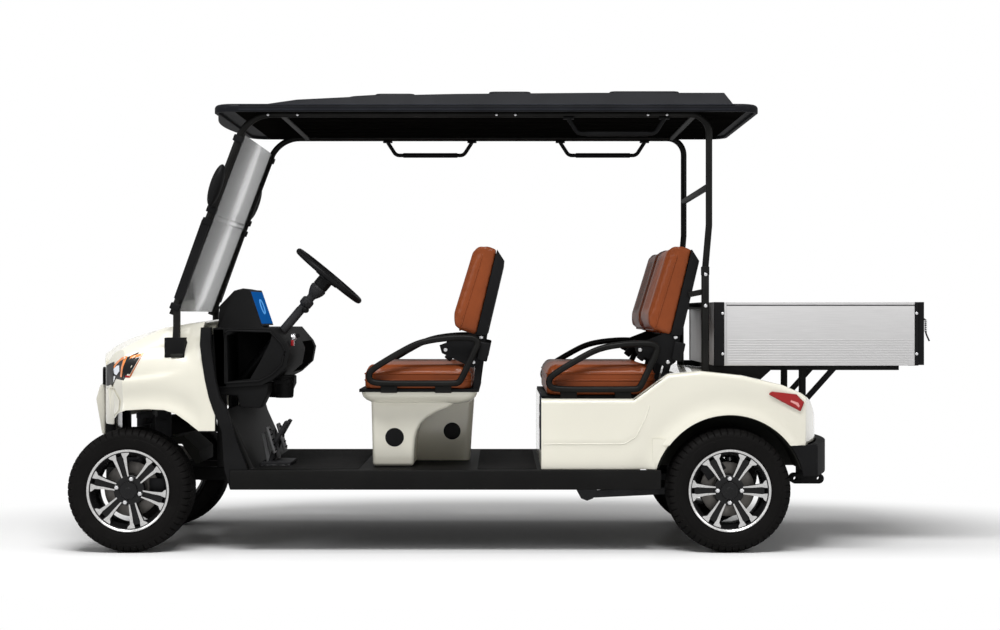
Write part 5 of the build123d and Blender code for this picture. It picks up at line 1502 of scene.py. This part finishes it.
# ================================================================ stage
FADE_REACH = (2.75, 1.65)  # half axes, along and across, of the floor's grey patch
FADE_FROM, FADE_TO = 0.8, 1.25
FLOOR_REACH = 40.0
WORLD_LIGHT = 0.15
LAMPS = [  # name, place, aim, size, power
    ("top_softbox", (0.0, -0.2, 5.4), (0, 0, 0.4), (5.5, 2.0), 135),
    ("key_softbox", (-0.6, -3.6, 6.0), (0, 0, 0.6), (4.5, 1.4), 325),
    ("front_softbox", (-5.2, -3.6, 3.4), (-0.3, 0, 0.7), (2.2, 2.0), 42),
    ("rear_softbox", (5.2, -3.4, 3.2), (0.4, 0, 0.8), (2.2, 2.0), 34),
]
CAMERA_PLACE, CAMERA_LENS = (-0.005, -8.23, 1.0), 65.52


def seen_directly(tree):
    """1 for camera, glossy and transmission rays, 0 for the light that falls on things."""
    path = outputs_of(tree, "LightPath", {})
    value = path["Is Camera Ray"]
    for kind in ("Is Glossy Ray", "Is Transmission Ray"):
        value = outputs_of(tree, "Math", {0: value, 1: path[kind]}, operation="MAXIMUM")["Value"]
    return value


def end_with_mix(tree, share, first, second, end):
    """Mixes two shaders by a share into the tree's end node."""
    mix = outputs_of(tree, "MixShader", {"Fac": share, 1: first, 2: second})["Shader"]
    tree.links.new(mix, tree.nodes[end].inputs["Surface"])


def whiten_far(mat):
    """Fades the floor to the white backdrop away from the cart."""
    tree = mat.node_tree
    place = coordinates(mat, (1 / FADE_REACH[0], 1 / FADE_REACH[1], 0.0))
    length = outputs_of(tree, "VectorMath", {0: place}, operation="LENGTH")["Value"]
    far = outputs_of(tree, "MapRange", {"From Min": FADE_FROM, "From Max": FADE_TO, "Value": length},
                     interpolation_type="SMOOTHSTEP")["Result"]
    share = outputs_of(tree, "Math", {0: far, 1: seen_directly(tree)}, operation="MULTIPLY")["Value"]
    white = outputs_of(tree, "Emission", {"Strength": 1.0})["Emission"]
    end_with_mix(tree, share, shader_of(mat).outputs["BSDF"], white, "Material Output")


def make_stage():
    """Floor, lights, world and camera."""
    far = FLOOR_REACH
    floor = bpy.data.meshes.new("floor")
    floor.from_pydata([(-far, -far, 0), (far, -far, 0), (far, far, 0), (-far, far, 0)], [], [(0, 1, 2, 3)])
    mat = new_material("floor_white", (0.97, 0.97, 0.97), 0.3, specular_ior_level=0.0, coat_weight=0.04,
                       coat_roughness=0.12)
    whiten_far(mat)
    floor.materials.append(mat)
    placed("floor", floor)
    for name, place, aim, size, power in LAMPS:
        light = bpy.data.lights.new(name, "AREA")
        light.shape = "RECTANGLE"
        light.size, light.size_y = size
        light.energy = power
        lamp = placed(name, light)
        lamp.location = place
        lamp.rotation_euler = (Vector(aim) - Vector(place)).to_track_quat("-Z", "Y").to_euler()
    make_world()
    camera = bpy.data.cameras.new("camera")
    camera.sensor_width = 36.0
    camera.sensor_fit = "HORIZONTAL"
    camera.lens = CAMERA_LENS
    holder = placed("camera", camera)
    holder.location = CAMERA_PLACE
    holder.rotation_euler = (math.radians(90), 0, 0)
    bpy.context.scene.camera = holder
    bpy.context.scene.view_settings.view_transform = "Standard"


def make_world():
    """Faint light all round, seen as a white backdrop."""
    world = bpy.data.worlds.new("studio")
    world.use_nodes = True
    tree = world.node_tree
    back = tree.nodes["Background"]
    back.inputs["Color"].default_value = (1, 1, 1, 1)
    back.inputs["Strength"].default_value = WORLD_LIGHT
    white = outputs_of(tree, "Background", {"Color": (1, 1, 1, 1), "Strength": 1.0})["Background"]
    end_with_mix(tree, seen_directly(tree), back.outputs["Background"], white, "World Output")
    bpy.context.scene.world = world


def main():
    """Builds everything."""
    make_stage()
    make_wheels()
    dress_kept_nodes()
    make_cowl()
    make_rear_body()
    make_roof()
    make_seat_base()
    make_seats()
    make_cargo()
    make_gate()
    make_display()
    make_dash()
    make_pedals()
    make_charge_point()
    make_pillar_parts()
    make_springs()
    make_floor_ribs()
    make_lining()
    make_steering_column()
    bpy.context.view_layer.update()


main()
